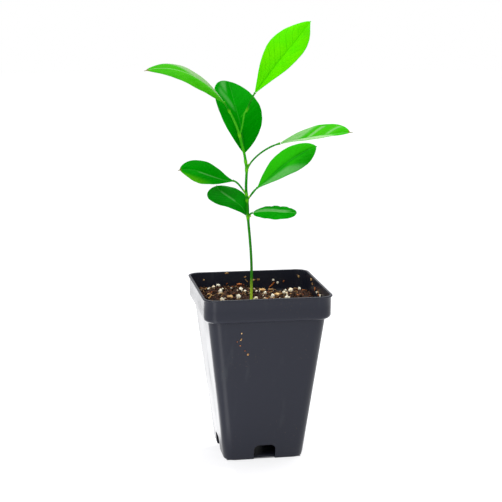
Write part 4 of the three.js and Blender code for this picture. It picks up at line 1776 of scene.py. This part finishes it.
def leaf_forms(skins: LeafSkins) -> tuple[LeafForm, ...]:
    """The eight leaves, from the lowest up."""
    return (
        LeafForm(
            "low_left", Joint.LOW, Slot.DARK_LEAF, skins.low_left(),
            (-0.3, 3.4, 0.6), (-0.1, 1.4, 0.1), 36.8, 13.0,
            ((-0.13, 0.02, 0.34), (-0.40, 0.30, 0.27), (-0.46, 0.63, 0.47)),
            0.8, 0.55, 10.0, 2.0, 10.0, 0.18,
        ),
        LeafForm(
            "low_right", Joint.LOW, Slot.DARK_LEAF, skins.low_right(),
            (2.9, -2.0, 3.5), (1.2, -0.9, 2.6), 29.8, 8.7,
            ((0.27, -0.09, 0.07), (0.56, -0.22, 0.05), (0.94, -0.33, 0.03)),
            0.52, 0.47, -20.0, -5.0, 8.0, 0.21, notch=0.09, ripple=0.2, point=0.2,
        ),
        LeafForm(
            "middle_right", Joint.RIGHT, Slot.DARK_LEAF, skins.middle_right(),
            (8.2, 6.0, 7.6), (2.0, 0.8, 2.4), 53.8, 12.7,
            ((0.273, 0.149, 0.171), (0.509, 0.297, 0.37), (0.818, 0.284, 0.476)),
            0.98, 0.68, -17.0, -38.0, 11.0, 0.2, wing=0.5,
        ),
        LeafForm(
            "middle_left", Joint.LEFT, Slot.DARK_LEAF, skins.middle_left(),
            (-8.7, 4.0, 8.8), (-2.2, 0.8, 2.2), 37.5, 11.1,
            ((-0.368, 0.197, 0.011), (-0.541, 0.269, 0.232), (-0.923, 0.269, 0.179)),
            1.01, 0.71, 32.0, 15.0, 11.0, 0.19, point=1.4,
        ),
        LeafForm(
            "arched_right", Joint.ARCH, Slot.FRESH_LEAF, skins.arched_right(),
            (21.8, -6.0, 18.5), (3.2, -0.6, 8.6), 46.8, 12.2,
            ((0.357, -0.06, 0.088), (0.654, -0.197, 0.147), (0.947, -0.265, 0.175)),
            0.97, 0.6, -16.0, 1.0, 21.0, 0.11, point=2.0,
        ),
        LeafForm(
            "back", Joint.BACK, Slot.DARK_LEAF, skins.back(),
            (-0.3, 3.9, 5.1), (0.0, 2.6, 1.2), 60.0, 18.6,
            ((-0.018, 0.03, 0.313), (-0.077, 0.267, 0.553), (-0.087, 0.583, 0.762)),
            0.84, 0.66, -16.0, -1.0, 17.0, 0.09,
        ),
        LeafForm(
            "top_left", Joint.LEFT_TIP, Slot.FRESH_LEAF, skins.top_left(),
            (-3.6, -1.0, 5.9), (-1.3, -0.4, 2.2), 61.8, 13.9,
            ((-0.186, -0.099, 0.22), (-0.471, -0.176, 0.442), (-0.85, -0.223, 0.358)),
            1.0, 0.76, 25.0, -24.0, 6.0, 0.22, point=1.6,
        ),
        LeafForm(
            "top_right", None, Slot.LIME_LEAF, skins.top_right(),
            (6.1, 2.4, 11.6), (1.6, 0.6, 3.6), 62.4, 15.3,
            ((0.248, 0.019, 0.337), (0.45, 0.194, 0.49), (0.633, 0.184, 0.745)),
            1.04, 0.66, -24.0, 22.0, 20.0, 0.11, point=0.6,
        ),
    )


@dataclass
class Buds:
    """The small egg-shaped buds in the leaves' axils, where the frame has them."""

    leaves: tuple[str, ...] = ("low_right", "middle_right", "middle_left", "arched_right")

    def build(self, finish: bpy.types.Material) -> None:
        """Makes the buds: an egg drawn to a point, with two scales that overlap."""
        for index, leaf in enumerate(self.leaves):
            low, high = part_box(f"bud_{leaf}")
            middle, half = (low + high) / 2, (high - low) / 2
            mesh = bmesh.new()
            bmesh.ops.create_uvsphere(mesh, u_segments=20, v_segments=16, radius=1.0)
            along = mesh.verts.layers.float.new("along")
            for vert in mesh.verts:
                vert[along] = 0.5 + 0.5 * vert.co.z
                angle = math.atan2(vert.co.y, vert.co.x)
                scale = 1.0 + 0.1 * math.sin(2 * angle + 3 * vert.co.z + index)
                narrow = scale * (1.0 - 0.35 * clamp(vert.co.z) ** 2)
                vert.co = Vector((vert.co.x * narrow, vert.co.y * narrow, vert.co.z))
            size = Vector((half.x, half.y, half.z))
            bmesh.ops.scale(mesh, vec=size, verts=mesh.verts)
            bmesh.ops.translate(mesh, vec=middle, verts=mesh.verts)
            deliver(f"axil_bud_{leaf}", mesh, [finish], Slot.BUD, [f"bud_{leaf}"])


# ---------------------------------------------------------------- the studio


@dataclass(frozen=True)
class Softbox:
    """One area light, in metres, aimed at a point on the pot's axis."""

    name: str
    place: Triple
    width: float
    height: float
    power: float
    tint: Triple = (1.0, 1.0, 1.0)
    aim_height: float = 0.14

    def build(self) -> None:
        """Makes the light."""
        data = bpy.data.lights.new(self.name, "AREA")
        data.shape = "RECTANGLE"
        data.size = self.width
        data.size_y = self.height
        data.energy = self.power
        data.color = self.tint
        light = bpy.data.objects.new(self.name, data)
        light.location = self.place
        toward = Vector((0.0, 0.0, self.aim_height)) - Vector(self.place)
        light.rotation_euler = toward.to_track_quat("-Z", "Y").to_euler()
        bpy.context.scene.collection.objects.link(light)


@dataclass(frozen=True)
class Strip:
    """A bright strip of the floor that shows in the pot's glossy sides. Lengths are in metres.

    It starts at a point, runs off at a heading in degrees and widens by a share of its length. It fades in
    over first_fade, and out past the share last_bright of its length. Across, it is full up to the share
    full_from of its half-width and gone at the share gone_at.
    """

    start: tuple[float, float]
    heading: float
    half_width: float
    widening: float
    length: float
    first_fade: float = 0.03
    last_bright: float = 0.8
    gone_at: float = 1.3
    full_from: float = 0.7

    def mask(self, recipe: Recipe) -> Value:
        """How bright the strip is at each place, from 0 to 1."""
        ahead = Vector((math.cos(math.radians(self.heading)), math.sin(math.radians(self.heading))))
        parts = recipe.node("ShaderNodeSeparateXYZ", inputs={"Vector": recipe.place()}).outputs
        x = recipe.number(parts["X"]) - self.start[0]
        y = recipe.number(parts["Y"]) - self.start[1]
        along = x * ahead.x + y * ahead.y
        aside = abs(y * ahead.x - x * ahead.y) / (self.half_width + along.most(0.0) * self.widening)
        begin = recipe.rise(along, 0.0, self.first_fade)
        ends = begin * recipe.rise(along, self.length, self.last_bright * self.length)
        return recipe.rise(aside, self.gone_at, self.full_from) * ends


@dataclass
class Studio:
    """A pale floor, soft light and the camera.

    The floor glows, so that it stays white: near_glow up to near_edge from the middle, mid_glow at mid_edge
    and far_glow from far_edge. It doesn't glow under the pot, within dark_half of the middle.
    """

    ambient: float = 0.3
    floor_half: float = 4.0
    near_glow: float = 0.7
    mid_glow: float = 0.58
    far_glow: float = 0.88
    near_edge: float = 0.4
    mid_edge: float = 0.7
    far_edge: float = 2.7
    strip_glow: float = 2.5
    dark_half: float = 0.0262
    dark_blur: float = 0.0008
    strips: tuple[Strip, ...] = (
        Strip((-0.037, 0.0), 100.4, 0.05, 0.0, 0.75),
        Strip((-0.035, -0.035), 245.0, 0.012, 0.16, 0.5),
    )
    floor_colour: Colour = rgb(0.4, 0.4, 0.42)
    lens: float = 91.56
    sensor_width: float = 36.0
    sight: float = 50.0
    yaw: float = 10.378
    pitch: float = 11.65
    roll: float = 0.337
    distance: float = 884.06
    aim_height: float = 100.0
    slide: float = -4.87
    lift: float = 39.53
    lights: tuple[Softbox, ...] = (
        Softbox("key", (-0.55, -1.1, 1.15), 1.0, 1.0, 12.0),
        Softbox("left_panel", (-1.25, 0.75, 0.35), 1.6, 1.3, 8.0),
        Softbox("overhead", (0.25, 0.35, 1.35), 1.2, 1.0, 20.0),
        Softbox("backdrop", (0.0, 2.0, 0.6), 3.5, 1.6, 8.0),
    )

    def _floor(self) -> None:
        """The plain floor."""
        mesh = bmesh.new()
        bmesh.ops.create_grid(mesh, x_segments=1, y_segments=1, size=self.floor_half)
        data = as_data("floor", mesh)
        sockets = {"Base Color": self.floor_colour, "Roughness": 0.9, "Specular IOR Level": 0.1}
        recipe = Recipe("pale_floor", sockets)
        place = recipe.place()
        length = recipe.node("ShaderNodeVectorMath", {"operation": "LENGTH"}, {"Vector": place})
        away = recipe.number(length.outputs["Value"])
        parts = recipe.node("ShaderNodeSeparateXYZ", inputs={"Vector": place}).outputs
        outside = abs(recipe.number(parts["X"])).most(abs(recipe.number(parts["Y"])))
        leaving = recipe.rise(away, self.near_edge, self.mid_edge)
        glow = self.near_glow + leaving * (self.mid_glow - self.near_glow)
        glow = glow + recipe.rise(away, self.mid_edge, self.far_edge) * (self.far_glow - self.mid_glow)
        glow = glow * recipe.rise(outside, self.dark_half - self.dark_blur, self.dark_half)
        for strip in self.strips:
            glow = glow + strip.mask(recipe) * (self.strip_glow - self.near_glow)
        glow = glow * (1.0 / self.strip_glow)
        recipe.dress({"Emission Color": recipe.blend(glow, rgb(0.0, 0.0, 0.0), rgb(1.0, 1.0, 1.0))})
        recipe.shader.inputs["Emission Strength"].default_value = self.strip_glow
        data.materials.append(recipe.material)
        floor = bpy.data.objects.new("floor", data)
        bpy.context.scene.collection.objects.link(floor)

    def _world(self) -> None:
        """A white backdrop for the eye and a soft grey room for light."""
        world = bpy.data.worlds.new("studio")
        bpy.context.scene.world = world
        world.use_nodes = True
        tree = world.node_tree
        tree.nodes.clear()
        seen = tree.nodes.new("ShaderNodeBackground")
        room = tree.nodes.new("ShaderNodeBackground")
        path = tree.nodes.new("ShaderNodeLightPath")
        mixed = tree.nodes.new("ShaderNodeMixShader")
        out = tree.nodes.new("ShaderNodeOutputWorld")
        for background, strength in ((seen, 1.0), (room, self.ambient)):
            background.inputs["Color"].default_value = (1.0, 1.0, 1.0, 1.0)
            background.inputs["Strength"].default_value = strength
        tree.links.new(path.outputs["Is Camera Ray"], mixed.inputs[0])
        tree.links.new(room.outputs[0], mixed.inputs[1])
        tree.links.new(seen.outputs[0], mixed.inputs[2])
        tree.links.new(mixed.outputs[0], out.inputs["Surface"])

    def _camera(self) -> None:
        """The camera, a little to the left and above, looking slightly down."""
        yaw, pitch, roll = (math.radians(a) for a in (self.yaw, self.pitch, self.roll))
        run = math.cos(pitch)
        forward = Vector((math.sin(yaw) * run, math.cos(yaw) * run, -math.sin(pitch)))
        level = Vector((math.cos(yaw), -math.sin(yaw), 0.0))
        plumb = level.cross(forward)
        right = level * math.cos(roll) + plumb * math.sin(roll)
        up = right.cross(forward)
        aim = Vector((0.0, 0.0, self.aim_height))
        place = aim - forward * self.distance + right * self.slide + up * self.lift
        data = bpy.data.cameras.new("camera")
        data.lens = self.lens
        data.sensor_width = self.sensor_width
        data.clip_end = self.sight
        camera = bpy.data.objects.new("camera", data)
        matrix = Matrix((right, up, -forward)).transposed().to_4x4()
        matrix.translation = place * MM
        camera.matrix_world = matrix
        bpy.context.scene.collection.objects.link(camera)
        bpy.context.scene.camera = camera

    def build(self) -> None:
        """Makes the studio."""
        bpy.context.scene.view_settings.view_transform = "Standard"
        self._floor()
        self._world()
        self._camera()
        for light in self.lights:
            light.build()


def main() -> None:
    """Builds the plant, its pot and the studio around the frame."""
    logging.basicConfig(level=logging.INFO, format="%(message)s")
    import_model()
    pot = Pot()
    pot.build(PotPlastic())
    finishes = {
        Slot.MIX: PeatEarth().material(),
        Slot.PERLITE: PerliteFoam().material(),
        Slot.ORANGE_BARK: BarkFinish("orange_bark", rgb(0.6, 0.2, 0.05), rgb(0.24, 0.06, 0.016)).material(),
        Slot.TAN_BARK: BarkFinish("tan_bark", rgb(0.86, 0.56, 0.25), rgb(0.34, 0.16, 0.05)).material(),
    }
    mix = PottingMix(pot)
    mix.build(finishes)
    StuckBits(pot).build(finishes)
    stem = Stem(mix.level)
    stem.build(
        ShootFinish(
            "stem_skin",
            (
                (0.0, rgb(0.6, 0.82, 0.06)),
                (0.11, rgb(0.55, 0.8, 0.05)),
                (0.16, rgb(0.03, 0.25, 0.015)),
                (0.36, rgb(0.015, 0.22, 0.01)),
                (0.4, rgb(0.001, 0.19, 0.002)),
                (0.47, rgb(0.003, 0.18, 0.004)),
                (0.52, rgb(0.004, 0.18, 0.008)),
                (0.6, rgb(0.006, 0.23, 0.004)),
                (0.85, rgb(0.03, 0.36, 0.006)),
                (1.0, rgb(0.06, 0.42, 0.015)),
            ),
            rgb(0.11, 0.46, 0.01),
        )
    )
    stalk_skin = ShootFinish(
        "stalk_skin",
        ((0.0, rgb(0.05, 0.33, 0.005)), (0.3, rgb(0.006, 0.2, 0.004)), (1.0, rgb(0.02, 0.27, 0.01))),
        rgb(0.09, 0.42, 0.01),
    ).material()
    for number, form in enumerate(leaf_forms(LeafSkins())):
        Leaf(form, stem, number).build(stalk_skin)
    Buds().build(BudSkin().material())
    Studio().build()
    bpy.context.view_layer.update()


if __name__ == "__main__":
    main()
